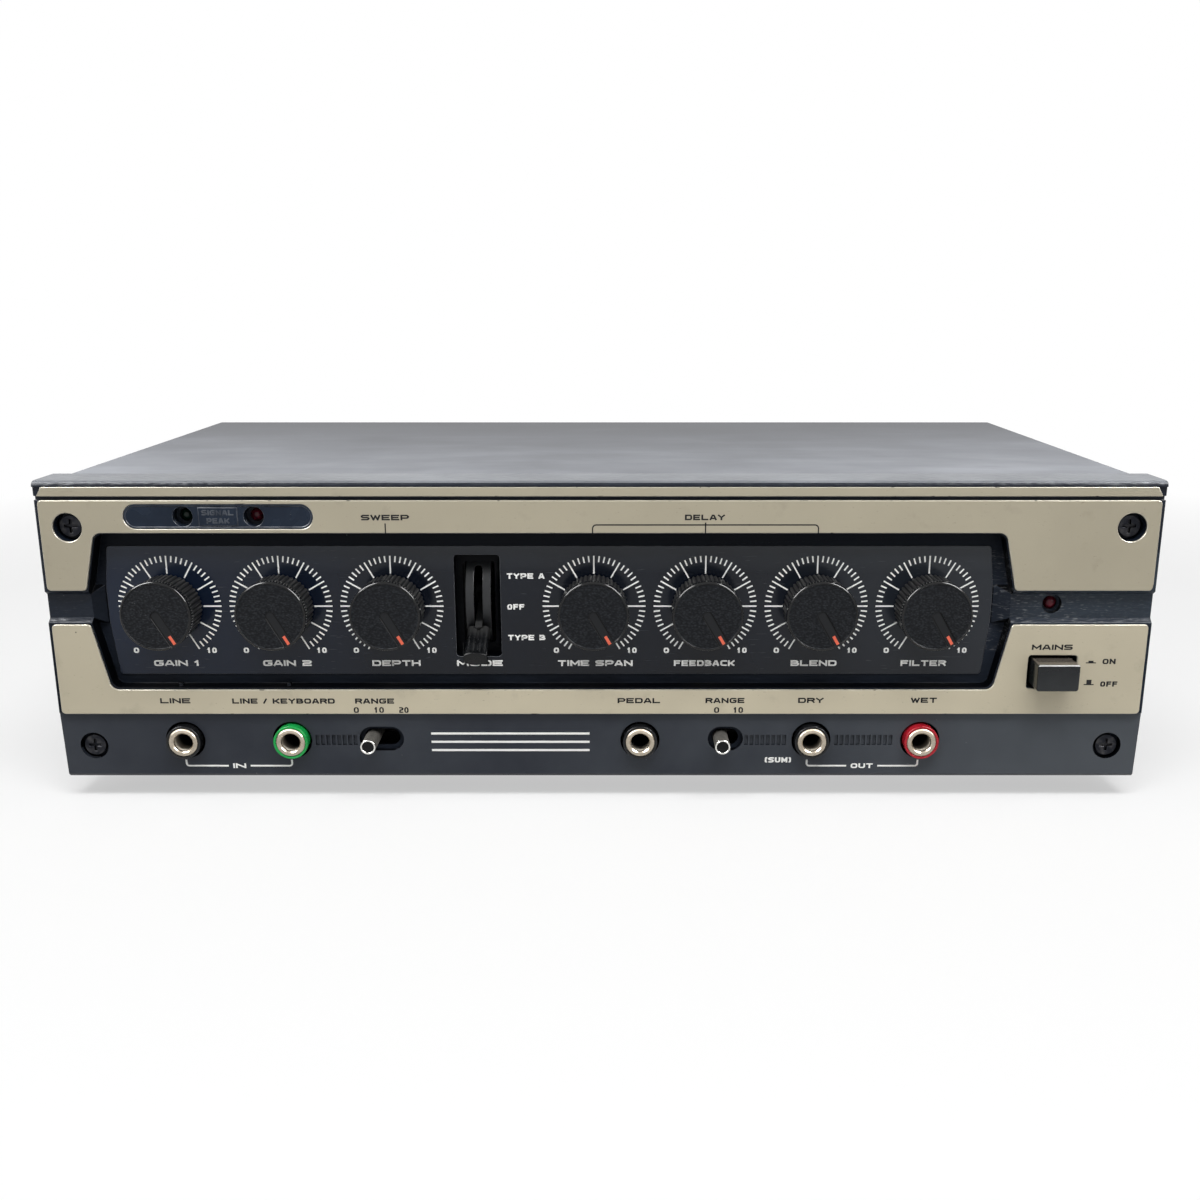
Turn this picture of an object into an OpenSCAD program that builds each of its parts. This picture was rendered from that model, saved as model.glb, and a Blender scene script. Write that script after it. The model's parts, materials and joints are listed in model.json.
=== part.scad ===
// Table-top echo effects unit: moulded front with dial well, folded steel case, pots, jacks and switches.
// Front coordinates inside the modules: x to the right, y into the case from the face of the
// trim plates, z up from the lower edge of the bezel.

/* [Front bezel] */
// Width of the front bezel
bezel_w = 370; // [335:1:410]
// Depth of the bezel behind the face of the trim plates
bezel_depth = 17; // [15:0.5:22]
// Wall of the bezel moulding
bezel_wall = 2.5; // [2:0.1:3.2]
// Height of the jack panel under the lower trim plate
jack_panel_h = 24; // [23:0.5:30]
// Height of the lower trim plate
lower_plate_h = 31.6; // [30:0.1:38]
// Height of the channel between the two trim plates
channel_h = 11.7; // [9:0.1:16]
// Height of the upper trim plate
upper_plate_h = 30.4; // [29.5:0.1:38]
// Height of the groove under the top trim strip
groove_h = 1.3; // [0.8:0.1:3]
// Depth of that groove
groove_d = 1.2; // [0.5:0.1:2]
// Radius of the rounded top rim
rim_r = 1.9; // [1:0.1:3]
// Depth of the channel behind the face of the plates
channel_d = 2.6; // [1.6:0.1:3.4]
// Slope run of the channel's two edges
channel_slope = 1.2; // [0.2:0.1:1.5]
// Setback of the jack panel at its upper edge
panel_set_top = 1.4; // [1:0.1:2.2]
// Setback of the jack panel at its lower edge
panel_set_bottom = 2.6; // [1.4:0.1:3.2]
// Chamfer along the bezel's lower front edge
foot_chamfer = 1.2; // [0.4:0.1:2]

/* [Trim] */
// Thickness of the trim plates
plate_t = 0.8; // [0.5:0.1:1.2]
// Black rim left at each side of the trim plates
plate_rim = 1.3; // [0.6:0.1:3]
// Black lip left between a trim plate and the well or channel
plate_lip = 0.5; // [0.2:0.1:1]
// Corner radius of the trim plates
plate_r = 1.4; // [0.6:0.1:2.5]
// Height of the top trim strip
strip_h = 3.1; // [2:0.1:5]
// Draw-in of the strip's slanted ends
strip_slant = 1.7; // [0.5:0.1:3]

/* [Dial well] */
// Depth of the well's floor behind the face of the plates
well_d = 6; // [5:0.1:7]
// Distance of the well from the bezel's left end
well_in_left = 14.8; // [14:0.1:17]
// Distance of the well from the bezel's right end
well_in_right = 47.5; // [46:0.1:50]
// Height of the well above the channel
well_up = 19; // [18:0.1:20.5]
// Depth of the well below the channel
well_down = 22.4; // [21:0.1:24]
// Slant of the well's ends in degrees
well_slant = 12.4; // [8:0.2:16]
// Corner radius of the well
well_r = 3; // [1:0.1:4]
// Height of the ramps' feet above the well's floor
ramp_foot = 0.3; // [0.1:0.1:1]
// Flare of the ramps' feet at both sides
ramp_flare = 2.5; // [0:0.5:4]
// Gap between a ramp and the dial plate
ramp_gap = 0.3; // [0.1:0.1:1]
// Corner radius of the dial plate
dial_r = 1.2; // [0.4:0.1:2]
// Thickness of the printed dial plate
dial_t = 0.5; // [0.4:0.1:1]
// Margin between the well and the dial plate at the left end
dial_margin = 3.9; // [2:0.1:5]
// Margin between the well and the dial plate at the right end
dial_margin_right = 5.4; // [2:0.1:6]
// Margin above the dial plate
dial_margin_top = 4.9; // [3:0.1:6]
// Margin under the dial plate
dial_margin_bottom = 3.4; // [2:0.1:5]
// Slant of the dial plate's ends in degrees
dial_slant = 6; // [2:0.5:10]

/* [Dials and knobs] */
// Distance of the first dial from the well's left end
dials_in_left = 24.8; // [22:0.1:27]
// Distance of the last dial from the well's right end
dials_in_right = 27.1; // [24:0.1:29]
// Space between the two groups of dials, as a share of the dials' spacing
group_gap = 1.82; // [1.7:0.01:2]
// Drop of the dial axes below the middle of the channel
dial_drop = 0.8; // [0:0.1:2]
// Diameter of a knob's cap
knob_d = 23.5; // [20:0.1:27]
// Diameter of the fluted drum under the cap
drum_d = 22.6; // [18:0.1:26]
// Height of a knob
knob_h = 13; // [11:0.1:16]
// Thickness of the cap
cap_t = 2.4; // [1.6:0.1:3.5]
// Rounding of the cap's front edge
cap_r = 0.7; // [0.3:0.1:0.7]
// Width of the smooth rim around the knob's face
face_rim = 0.8; // [0.8:0.1:2]
// Setback of the face inside that rim
face_sink = 0.2; // [0.1:0.05:0.3]
// Number of flutes around the drum
flutes = 46; // [18:1:48]
// Width of a flute
flute_d = 1.2; // [0.8:0.1:1.3]
// Gap between a knob and the dial plate
knob_gap = 1; // [0.5:0.1:2]
// Width of the pointer groove
pointer_w = 3.3; // [1.5:0.1:4]
// Depth of the pointer groove
pointer_d = 0.5; // [0.2:0.1:0.8]
// Resting turn of the knobs, clockwise from the top
knob_turn = 150; // [0:1:150]

/* [Pots] */
// Diameter of a pot's shaft
shaft_d = 6; // [5:0.1:6.4]
// Diameter of a pot's threaded bush
bush_d = 7.4; // [7.2:0.1:9]
// Length of the bush in front of the sub-panel
bush_len = 6; // [4:0.1:6.5]
// Diameter of a pot's case
pot_d = 16.5; // [14:0.1:20]
// Depth of a pot's case
pot_depth = 8.5; // [7:0.1:12]
// Width across the flats of a pot's nut
nut_af = 11; // [10.5:0.1:13]
// Thickness of a pot's nut
nut_t = 2; // [1.5:0.1:3]

/* [Selector] */
// Place of the selector in the space between the dials, as a share of it
selector_share = 0.425; // [0.4:0.005:0.5]
// Width of the window in the dial plate
selector_win_w = 15.4; // [14:0.1:18]
// Height of the window in the dial plate
selector_win_h = 35.5; // [33:0.1:38]
// Width of the ledge at the back of that window's recess, at its sides
selector_ledge = 2.3; // [1:0.1:2.5]
// Width of that ledge above and below
selector_ledge_end = 3.4; // [2:0.1:3.6]
// Depth of the recess behind the dial plate's face
selector_recess = 5.4; // [4:0.1:6]
// Radius of the arched guide
guide_r = 20; // [19.5:0.1:22]
// Width of the arched guide
guide_w = 8.6; // [7:0.1:10]
// Wall of the arched guide
guide_t = 1.2; // [0.8:0.1:1.8]
// Setback of the guide's crown behind the dial plate's face
guide_set = 1; // [0.5:0.1:2]
// Width of the slot in the guide
guide_slot = 2.9; // [2.4:0.1:4]
// Length of that slot
guide_slot_len = 25.6; // [25:0.1:27]
// Swing of the lever to each side of the middle
lever_swing = 25; // [15:1:27]
// Length of the lever from its pin
lever_len = 36; // [30:0.5:38]
// Width of the lever's finger piece
lever_w = 7.8; // [6:0.1:10]
// Height of the lever's finger piece
lever_h = 5.4; // [4:0.1:6]
// Height of the finger piece's end at its two sides
lever_side = 3.2; // [2:0.1:3.6]
// Diameter of the lever's pin
pin_d = 3; // [2:0.1:4]

/* [Jacks] */
// Height of the jack axes above the lower edge
jack_z = 13.9; // [12:0.1:15]
// Shift of the first input jack from the first dial
in_jack_shift = 2.4; // [0:0.1:4]
// Shift of the second input jack from the second dial
line_jack_shift = 1.7; // [0:0.1:3]
// Shift of the pedal jack from the fourth dial
pedal_jack_shift = 15.7; // [12:0.1:17]
// Shift of the two output jacks from the last two dials
out_jack_shift = -0.4; // [-2:0.1:2]
// Bore for a 6.35 mm plug
jack_bore = 6.4; // [6.35:0.01:6.6]
// Outside diameter of the plated ferrule
ferrule_d = 10.4; // [9.5:0.1:11]
// Reach of the ferrule in front of the trim plates
ferrule_reach = 1.2; // [0.5:0.1:3]
// Diameter of the coloured collar
collar_d = 13; // [12.2:0.1:14]
// Reach of the collar in front of the trim plates
collar_reach = 0.2; // [0:0.1:1]
// Depth of a jack's case behind the sub-panel
jack_depth = 16; // [14:0.5:24]
// Width of a jack's case
jack_case = 16; // [15:0.1:20]

/* [Slide switches] */
// Shift of the input level slot from the third dial
in_slot_shift = -5; // [-6:0.1:2]
// Shift of the output level slot from the fifth dial
out_slot_shift = 7.6; // [4:0.1:9]
// Height of the slots above the lower edge
slot_z = 14.4; // [13:0.1:16]
// Step between two switch positions
slide_step = 3.2; // [2:0.1:4]
// Diameter of a slide lever
rod_d = 5.1; // [4:0.1:6]
// Reach of a slide lever in front of the trim plates
rod_reach = 6.5; // [4:0.1:8]
// Clearance around a slide lever in its slot
rod_gap = 0.4; // [0.4:0.1:0.8]
// Wall of a slide lever's hollow end
rod_wall = 0.55; // [0.4:0.05:1]
// Width of the sunk lip around a slot
slot_lip = 1.5; // [0.6:0.1:2]
// Depth of that lip
slot_sink = 2.1; // [0.8:0.1:2.2]

/* [Power switch] */
// Distance of the power button from the bezel's right end
power_in = 32.4; // [30:0.1:34]
// Height of the power button's middle
power_z = 39; // [37:0.1:42]
// Width of the power button
button_w = 14.1; // [11:0.1:16]
// Height of the power button
button_h = 9.4; // [8:0.1:11]
// Clearance around the power button
button_gap = 1.2; // [0.4:0.1:1.5]
// Reach of the released button in front of the plates
button_reach = 7; // [6:0.1:8]
// Travel of the power button
button_travel = 4.5; // [3:0.1:5]
// Side of the square plunger
plunger = 4; // [3:0.1:5]

/* [Lamps] */
// Diameter of a lamp's lens
lamp_d = 4.4; // [3:0.1:5]
// Diameter of the sight hole in front of a lamp
lamp_hole = 6.6; // [5.4:0.1:7]
// Distance of the power lamp from the bezel's right end
power_lamp_in = 33.6; // [28:0.1:38]
// Distance of the level window's middle from the bezel's left end
window_in = 60; // [56:0.1:64]
// Length of the level window
window_w = 62.2; // [55:0.1:70]
// Height of the level window
window_h = 8.3; // [7:0.1:10]
// Drop of the window's middle below the upper plate's top edge
window_drop = 5.4; // [5.2:0.1:6]
// Thickness of the level window
window_t = 1.2; // [0.8:0.1:2]
// Spacing of the two level lamps
lamp_pitch = 23.3; // [20:0.1:28]

/* [Case] */
// Depth of the case behind the face of the trim plates
case_depth = 182; // [176:1:240]
// Step from the bezel's ends in to the folded cover
cover_in = 3; // [2:0.1:4]
// Step from the bezel's top down to the cover
cover_step = 0.4; // [0.2:0.1:1]
// Outer bend radius of the cover
bend_r = 2.4; // [1.8:0.1:4]
// Thickness of the steel sheet
sheet_t = 1.2; // [0.8:0.1:1.6]
// Height of the tray's side lips
lip_h = 14; // [12:0.5:20]
// Height of the rubber feet
foot_h = 8; // [5:0.5:14]
// Diameter of the rubber feet
foot_d = 20; // [16:0.5:26]
// Distance of the feet from the sides of the cover
foot_in = 32; // [24:1:50]
// Setback of the front feet
foot_front = 42; // [36:1:60]
// Distance of the rear feet from the back
foot_rear = 22; // [18:1:40]
// Diameter of the bezel screws' heads
screw_head = 7.4; // [6:0.1:8]
// Diameter of the bezel screws' shanks
screw_d = 4; // [3:0.1:4.4]
// Diameter of the wells that hold the bezel screws
screw_well = 9.6; // [8.6:0.1:10.5]
// Distance of the bezel screws from the bezel's ends
screw_in = 10.3; // [9.5:0.1:11.5]
// Drop of the upper bezel screws below the upper plate's top edge
screw_drop = 9; // [8:0.1:11]
// Height of the lower bezel screws
screw_low = 11.8; // [10:0.1:13]
// Bore of the mains gland
gland_bore = 7; // [5:0.1:8]
// Outside diameter of the mains gland's flange
gland_d = 17; // [15:0.5:22]
// Distance of the gland from the side of the cover
gland_in = 42; // [30:1:50]

/* [Electronics] */
// Distance of the main board from the side of the cover
board_in = 36; // [34:1:45]
// Depth of the main board
board_l = 86; // [70:1:90]
// Thickness of the board
board_t = 1.6; // [1:0.1:2.4]
// Height of the board's stand-offs
standoff_h = 8; // [5:0.5:12]
// Distance from the back of the case to the board
board_rear = 20; // [12:1:24]
// Distance of the transformer's middle from the other side of the cover
core_in = 75; // [65:1:85]
// Width of the transformer's core
core_w = 48; // [40:1:56]
// Height of the transformer's core
core_h = 40; // [34:1:48]
// Thickness of the stack of laminations
core_t = 20; // [16:1:28]

/* [Hidden] */
$fn = 48;
// Radial play of a shaft or pin in its bore
fit = 0.05;
// Air between a moving piece and a fixed one
air = 0.3;
// Overlap that keeps cuts and joins clean
cut = 1;

// Levels up the front
low_top = jack_panel_h + lower_plate_h;
up_bottom = low_top + channel_h;
up_top = up_bottom + upper_plate_h;
strip_bottom = up_top + groove_h;
strip_top = strip_bottom + strip_h;
bezel_h = strip_top + rim_r;
dial_z = (low_top + up_bottom) / 2 - dial_drop;
lamp_z = up_top - window_drop;
power_lamp_z = (low_top + up_bottom) / 2 + dial_drop;

// Levels into the case
cavity_y = channel_d + bezel_wall;
well_back = well_d + bezel_wall;
dial_face = well_d - dial_t;
sub_y = bezel_depth;
sub_back = sub_y + sheet_t;
knob_back = dial_face - knob_gap;
knob_front = knob_back - knob_h;
guide_y = dial_face + guide_set + guide_r;
recess_floor = dial_face + selector_recess;
ledge_t = 1.2;
window_face = plate_t / 2;
window_floor = window_face + window_t;
emboss = 0.35;
window_rim = 0.6;
window_rim_t = 0.2;
block_gap = 2;
block_margin = 1.15;
lamp_flange = 1.5;
lamp_web = 0.6;
lamp_floor = cavity_y - lamp_web;
lamp_tip = lamp_floor - 1.1;
screw_seat = cavity_y;
screw_head_t = 2.4;

// Widths and places across the front
plate_w = bezel_w - 2 * plate_rim;
cover_w = bezel_w - 2 * cover_in;
cavity_w = cover_w - 1;
tray_w = cover_w - 2 * sheet_t;
cover_h = bezel_h - cover_step;
well_left = well_in_left - bezel_w / 2;
well_right = bezel_w / 2 - well_in_right;
power_x = bezel_w / 2 - power_in;
power_lamp_x = bezel_w / 2 - power_lamp_in;
window_x = window_in - bezel_w / 2;

// Dials
first_dial_x = well_left + dials_in_left;
last_dial_x = well_right - dials_in_right;
dial_pitch = (last_dial_x - first_dial_x) / (5 + group_gap);
dial_xs = concat(
    [for (i = [0:2]) first_dial_x + i * dial_pitch],
    [for (i = [3:-1:0]) last_dial_x - i * dial_pitch]
);
selector_x = dial_xs[2] + selector_share * group_gap * dial_pitch;
knob_names = [for (i = [1:7]) str("knob_", i)];
shaft_names = [for (i = [1:7]) str("pot_shaft_", i)];
shaft_hole = shaft_d + 1.6;
shaft_tip = knob_front + cap_t + 1;
shaft_root = sub_back + pot_depth - 2;
lug_pitch = 5;
lug_w = 1.2;
lug_t = 0.8;
lug_y = 3;
lug_reach = 6;
lug_root = 4;

// Jacks
ferrule_wall = 1.4;
collar_wall = 1;
collar_gap = 0.25;
nose_d = collar_d - 2 * collar_wall;
jack_hole = collar_d + 2 * collar_gap;
jack_xs = [
    dial_xs[0] + in_jack_shift,
    dial_xs[1] + line_jack_shift,
    dial_xs[3] + pedal_jack_shift,
    dial_xs[5] + out_jack_shift,
    dial_xs[6] + out_jack_shift
];
black_jacks = [0, 2, 3];
green_jack = 1;
red_jack = 4;

// Selector
recess_wall = 1.6;
selector_win_r = 1.2;
cheek_t = 2;
cheek_h = 18;
cheek_reach = 12;
hub_w = 5;

// Slide switches
in_slot_x = dial_xs[2] + in_slot_shift;
out_slot_x = dial_xs[4] + out_slot_shift;
slot_h = rod_d + 2 * rod_gap;
rod_hollow = 1.2;
in_travel = 2 * slide_step;
out_travel = slide_step;
slider_w = 8;
slider_t = 3;
slider_h = 7;
switch_wall = 1.2;

// Power switch
plunger_len = 16;
plunger_back = sub_back + plunger_len;
power_case_len = plunger_back + button_travel + air + switch_wall - sub_back;
power_case_margin = 9;
power_case = plunger + power_case_margin;
socket_len = 5;
button_back = plate_t + socket_len;
socket_y = plate_t;

// Ribs beside the jacks and slots
rib_pitch = 1.87;
rib_w = 1.3;
rib_h = 3.7;
rib_d = 0.7;
rib_gap = 1.9;
lip_gap = 1.1;
pip_w = 1.3;
pip_y = 2.4;
pip_d = 1.6;
pip_h = 1.2;
in_slot_end = (in_travel + slot_h) / 2 + slot_lip + lip_gap;
out_slot_end = (out_travel + slot_h) / 2 + slot_lip + lip_gap;
jack_end = jack_hole / 2 + rib_gap;
rib_rows = [
    [jack_xs[1] + jack_end, in_slot_x - in_slot_end],
    [out_slot_x + out_slot_end, jack_xs[3] - jack_end],
    [jack_xs[3] + jack_end, jack_xs[4] - jack_end]
]; // first and last place of each row

// Case
foot_x = cover_w / 2 - foot_in;
foot_places = [for (s = [-1, 1], y = [foot_front, case_depth - foot_rear]) [s * foot_x, y]];
cover_screw_front = 24;
cover_screw_rear = 30;
cover_screw_drop = 6;
cover_screw_ys = [sub_back + cover_screw_front, case_depth - cover_screw_rear];
cover_screw_z = lip_h - cover_screw_drop;
small_screw_d = 3;
small_head_d = 6;
small_head_t = 2;
small_screw_len = 6;
foot_web = 2.6;
foot_recess = small_head_d + 3;
front_reach = -knob_front;
gland_t = 4;
gland_x = cover_w / 2 - gland_in;
gland_z = lip_h + gland_d;
neck_d = gland_bore + 4.8;
plate_y = (front_reach - case_depth - gland_t) / 2;

// Electronics
core_foot = 10;
core_foot_t = 2;
core_x = cover_w / 2 - core_in;
board_left = board_in - cover_w / 2;
board_gap = 8;
board_right = core_x - core_w / 2 - core_foot - board_gap;
board_w = board_right - board_left;
board_x = (board_left + board_right) / 2;
board_z = sheet_t + standoff_h;
board_back = case_depth - board_rear;
board_mid = board_back - board_l / 2;
board_inset = 6;
board_holes = [for (i = [-1:1], j = [-1, 1])
    [board_x + i * (board_w / 2 - board_inset), board_mid + j * (board_l / 2 - board_inset)]];
chip_w = 6.4;
chip_l = 19;
chip_t = 4;
chip_start = -70;
chip_pitch = 26;
chip_y = -16;
cap_h = 16;
cap_d = 10;
big_cap_h = 28;
big_cap_d = 16;
big_cap_start = 72;
big_cap_pitch = 20;
core_y = board_mid;
leg = core_w / 6;

function slant(h, angle) = h * tan(angle);
function panel_face(z) = panel_set_bottom + (panel_set_top - panel_set_bottom) * z / jack_panel_h;

// Moves front coordinates to the part's own frame
module at_face() translate([0, plate_y, foot_h]) children();

// Extrudes an outline drawn in x and z from y to y + t
module slab(y, t) translate([0, y + t, 0]) rotate([90, 0, 0]) linear_extrude(t) children();

// Round bar along y
module bar(y, len, d) translate([0, y, 0]) rotate([-90, 0, 0]) cylinder(h = len, d = d);

module stadium(len, h) {
    square([len - h, h], center = true);
    for (s = [-1, 1]) translate([s * (len - h) / 2, 0]) circle(d = h);
}

module round_rect(w, h, r) {
    square([w - 2 * r, h], center = true);
    square([w, h - 2 * r], center = true);
    for (i = [-1, 1], j = [-1, 1]) translate([i * (w / 2 - r), j * (h / 2 - r)]) circle(r = r);
}

// Six-sided outline that widens towards the channel
module well_shape(left, right, up, down, angle) polygon([
    [left + slant(up, angle), up_bottom + up],
    [left, up_bottom],
    [left, low_top],
    [left + slant(down, angle), low_top - down],
    [right - slant(down, angle), low_top - down],
    [right, low_top],
    [right, up_bottom],
    [right - slant(up, angle), up_bottom + up]
]);

module well_outline(grow) offset(r = well_r) offset(delta = grow - well_r)
    well_shape(well_left, well_right, well_up, well_down, well_slant);

module dial_outline() offset(r = dial_r) offset(delta = -dial_r) well_shape(
    well_left + dial_margin, well_right - dial_margin_right,
    well_up - dial_margin_top, well_down - dial_margin_bottom, dial_slant
);

module screw_places() for (s = [-1, 1], z = [screw_low, up_top - screw_drop])
    translate([s * (bezel_w / 2 - screw_in), 0, z]) children();

module dial_places() for (x = dial_xs) translate([x, 0, dial_z]) children();

module jack_places(list) for (i = list) translate([jack_xs[i], 0, jack_z]) children();

module slots(grow) {
    translate([in_slot_x, slot_z]) stadium(in_travel + slot_h + 2 * grow, slot_h + 2 * grow);
    translate([out_slot_x, slot_z]) stadium(out_travel + slot_h + 2 * grow, slot_h + 2 * grow);
}

module selector_window(grow_w, grow_h) translate([selector_x, dial_z])
    round_rect(selector_win_w + 2 * grow_w, selector_win_h + 2 * grow_h, selector_win_r);

module lamp_places() for (s = [-1, 1]) translate([window_x + s * lamp_pitch / 2, 0, lamp_z]) children();

// Section of the bezel, y across and z up
module bezel_section() polygon(concat([
    [bezel_depth, 0],
    [panel_set_bottom + foot_chamfer, 0],
    [panel_face(foot_chamfer), foot_chamfer],
    [panel_set_top, jack_panel_h],
    [plate_t, jack_panel_h],
    [plate_t, low_top + plate_lip],
    [channel_d, low_top + plate_lip + channel_slope],
    [channel_d, up_bottom - plate_lip - channel_slope],
    [plate_t, up_bottom - plate_lip],
    [plate_t, up_top],
    [plate_t + groove_d, up_top],
    [plate_t + groove_d, strip_bottom],
    [plate_t, strip_bottom],
    [plate_t, strip_top]
], [for (a = [0:15:90]) [rim_r * (1 - cos(a)), strip_top + rim_r * sin(a)]], [
    [bezel_depth, bezel_h]
]));

module bezel_shell() difference() {
    translate([-bezel_w / 2, 0, 0]) rotate([90, 0, 90]) linear_extrude(bezel_w) bezel_section();
    translate([-cavity_w / 2, cavity_y, bezel_wall])
        cube([cavity_w, bezel_depth, bezel_h - 2 * bezel_wall]);
}

module ribs() for (row = rib_rows, x = [row[0]:rib_pitch:row[1]])
    translate([x, panel_face(jack_z) + rib_d, jack_z])
        translate([-rib_w / 2, -panel_set_bottom, -rib_h / 2]) cube([rib_w, panel_set_bottom, rib_h]);

// Deep round cup for a lamp, with a hole for its body
module lamp_cup() {
    bar(-cut, lamp_floor + cut, lamp_hole);
    bar(-cut, cavity_y + 2 * cut, lamp_d + 2 * fit);
}

// Slope that leads the channel down to the dial plate, drawn at the well's right end
module channel_ramp(margin) {
    foot_x = well_right - margin + ramp_gap;
    low = low_top + plate_lip + channel_slope;
    tall = up_bottom - low_top - 2 * (plate_lip + channel_slope);
    hull() {
        translate([well_right, channel_d, low]) cube([cut, well_d - channel_d, tall]);
        translate([foot_x, well_d - ramp_foot, low - ramp_flare])
            cube([well_right - foot_x + cut, ramp_foot + cut, tall + 2 * ramp_flare]);
    }
}

module front_bezel() color("#22252b") at_face() {
    bezel_body();
    well_pips();
    channel_ramp(dial_margin_right);
    translate([well_left + well_right, 0, 0]) mirror([1, 0, 0]) channel_ramp(dial_margin);
}

module bezel_body() difference() {
    union() {
        bezel_shell();
        slab(cavity_y - cut, well_back - cavity_y + cut) well_outline(bezel_wall);
        slab(well_d, recess_floor + ledge_t - well_d) selector_window(recess_wall, recess_wall);
        screw_places() bar(cavity_y - cut, bezel_depth - cavity_y + cut, screw_well + 2 * bezel_wall);
    }
    slab(-cut, well_d + cut) well_outline(0);
    dial_places() bar(well_d - cut, bezel_wall + 2 * cut, shaft_hole);
    slab(well_d - cut, recess_floor - well_d + cut) selector_window(0, 0);
    slab(well_d, bezel_depth) selector_window(-selector_ledge, -selector_ledge_end);
    jack_places([0:4]) bar(-cut, cavity_y + 2 * cut, jack_hole);
    slab(-cut, cavity_y + 2 * cut) slots(0);
    slab(-cut, panel_face(slot_z) + slot_sink + cut) slots(slot_lip);
    slab(-cut, cavity_y + 2 * cut) translate([power_x, power_z])
        round_rect(button_w + 2 * button_gap, button_h + 2 * button_gap, 1);
    slab(-cut, window_floor + cut) translate([window_x, lamp_z]) stadium(window_w, window_h);
    lamp_places() lamp_cup();
    translate([power_lamp_x, 0, power_lamp_z]) lamp_cup();
    screw_places() {
        bar(-cut, screw_seat + cut, screw_well);
        bar(0, bezel_depth + cut, screw_d + 0.4);
    }
    ribs();
}

// Two pips on the lower wall of the dial well
module well_pips() for (i = [0, 1]) translate([jack_xs[i] - pip_w / 2, pip_y, low_top - well_down - cut])
    cube([pip_w, pip_d, pip_h + cut]);

module upper_trim_plate() color("#a69d87") at_face() slab(0, plate_t) difference() {
    offset(r = plate_r) offset(delta = -plate_r) difference() {
        translate([-plate_w / 2, up_bottom]) square([plate_w, upper_plate_h]);
        well_outline(plate_lip);
    }
    translate([window_x, lamp_z]) stadium(window_w, window_h);
    for (s = [-1, 1]) translate([s * (bezel_w / 2 - screw_in), up_top - screw_drop]) circle(d = screw_well);
}

module lower_trim_plate() color("#b3aa94") at_face() slab(0, plate_t) difference() {
    offset(r = plate_r) offset(delta = -plate_r) difference() {
        translate([-plate_w / 2, jack_panel_h]) square([plate_w, lower_plate_h]);
        well_outline(plate_lip);
    }
    translate([power_x, power_z]) round_rect(button_w + 2 * button_gap, button_h + 2 * button_gap, 1);
}

module top_trim_strip() color("#b3aa94") at_face() slab(0, plate_t) polygon([
    [-plate_w / 2, strip_bottom],
    [plate_w / 2, strip_bottom],
    [plate_w / 2 - strip_slant, strip_top],
    [-plate_w / 2 + strip_slant, strip_top]
]);

module dial_plate() color("#33363b") at_face() slab(dial_face, dial_t) difference() {
    dial_outline();
    for (x = dial_xs) translate([x, dial_z]) circle(d = shaft_hole);
    selector_window(0, 0);
}

module window_outline(inset) translate([window_x, lamp_z])
    stadium(window_w - 4 * fit - 2 * inset, window_h - 4 * fit - 2 * inset);

module level_window() color("#2c2f34") at_face() {
    slab(window_face, window_floor - window_face) difference() {
        window_outline(0);
        for (s = [-1, 1]) translate([window_x + s * lamp_pitch / 2, lamp_z]) circle(d = lamp_hole);
    }
    slab(window_face - window_rim_t, window_rim_t + window_t / 2) difference() {
        window_outline(0);
        window_outline(window_rim);
    }
    block = [lamp_pitch - lamp_hole - 2 * block_gap, 2 * emboss, window_h - 2 * block_margin];
    translate([window_x, window_face, lamp_z]) cube(block, center = true);
}

module lamp() {
    translate([0, lamp_tip + lamp_d / 2, 0]) sphere(d = lamp_d);
    bar(lamp_tip + lamp_d / 2, cavity_y + lamp_flange - lamp_tip - lamp_d / 2, lamp_d);
    bar(cavity_y, lamp_flange, lamp_d + 1.2);
}

module level_lamp_green() color("#1f4a2c") at_face()
    translate([window_x - lamp_pitch / 2, 0, lamp_z]) lamp();

module level_lamp_red() color("#5a1a1c") at_face()
    translate([window_x + lamp_pitch / 2, 0, lamp_z]) lamp();

module power_lamp() color("#5a1a1c") at_face()
    translate([power_lamp_x, 0, power_lamp_z]) lamp();

// Cross-headed screw along y, head face at y
module cross_screw(y, head_d, head_t, d, len) difference() {
    union() {
        bar(y, head_t, head_d);
        bar(y, head_t + len, d);
    }
    for (a = [0, 90]) translate([0, y, 0]) rotate([0, a, 0])
        cube([0.9, head_t, head_d * 0.6], center = true);
}

module bezel_screws() color("#2b2d31") at_face() screw_places()
    cross_screw(screw_seat - screw_head_t, screw_head, screw_head_t, screw_d, sub_back - screw_seat + 4);

module cover_outline(w, h, r) {
    translate([-w / 2, 0]) square([w, h - r]);
    translate([-w / 2 + r, 0]) square([w - 2 * r, h]);
    for (s = [-1, 1]) translate([s * (w / 2 - r), h - r]) circle(r = r);
}

module top_cover() color("#3b4048") at_face() difference() {
    slab(bezel_depth, case_depth - bezel_depth) cover_outline(cover_w, cover_h, bend_r);
    slab(bezel_depth - cut, case_depth - bezel_depth + 2 * cut) translate([0, -cut])
        cover_outline(cover_w - 2 * sheet_t, cover_h - sheet_t + cut, bend_r - sheet_t);
    for (y = cover_screw_ys) translate([-cover_w, y, cover_screw_z]) rotate([0, 90, 0])
        cylinder(h = 2 * cover_w, d = small_screw_d + 0.4);
}

module tray_sheet() {
    translate([-tray_w / 2, sub_y, 0]) cube([tray_w, case_depth - sub_y, sheet_t]);
    for (y = [sub_y, case_depth - sheet_t]) slab(y, sheet_t)
        cover_outline(tray_w, cover_h - sheet_t - air, bend_r - sheet_t);
    for (s = [0, 1]) mirror([s, 0, 0]) translate([tray_w / 2 - sheet_t, sub_y, 0])
        cube([sheet_t, case_depth - sub_y, lip_h]);
}

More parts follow.
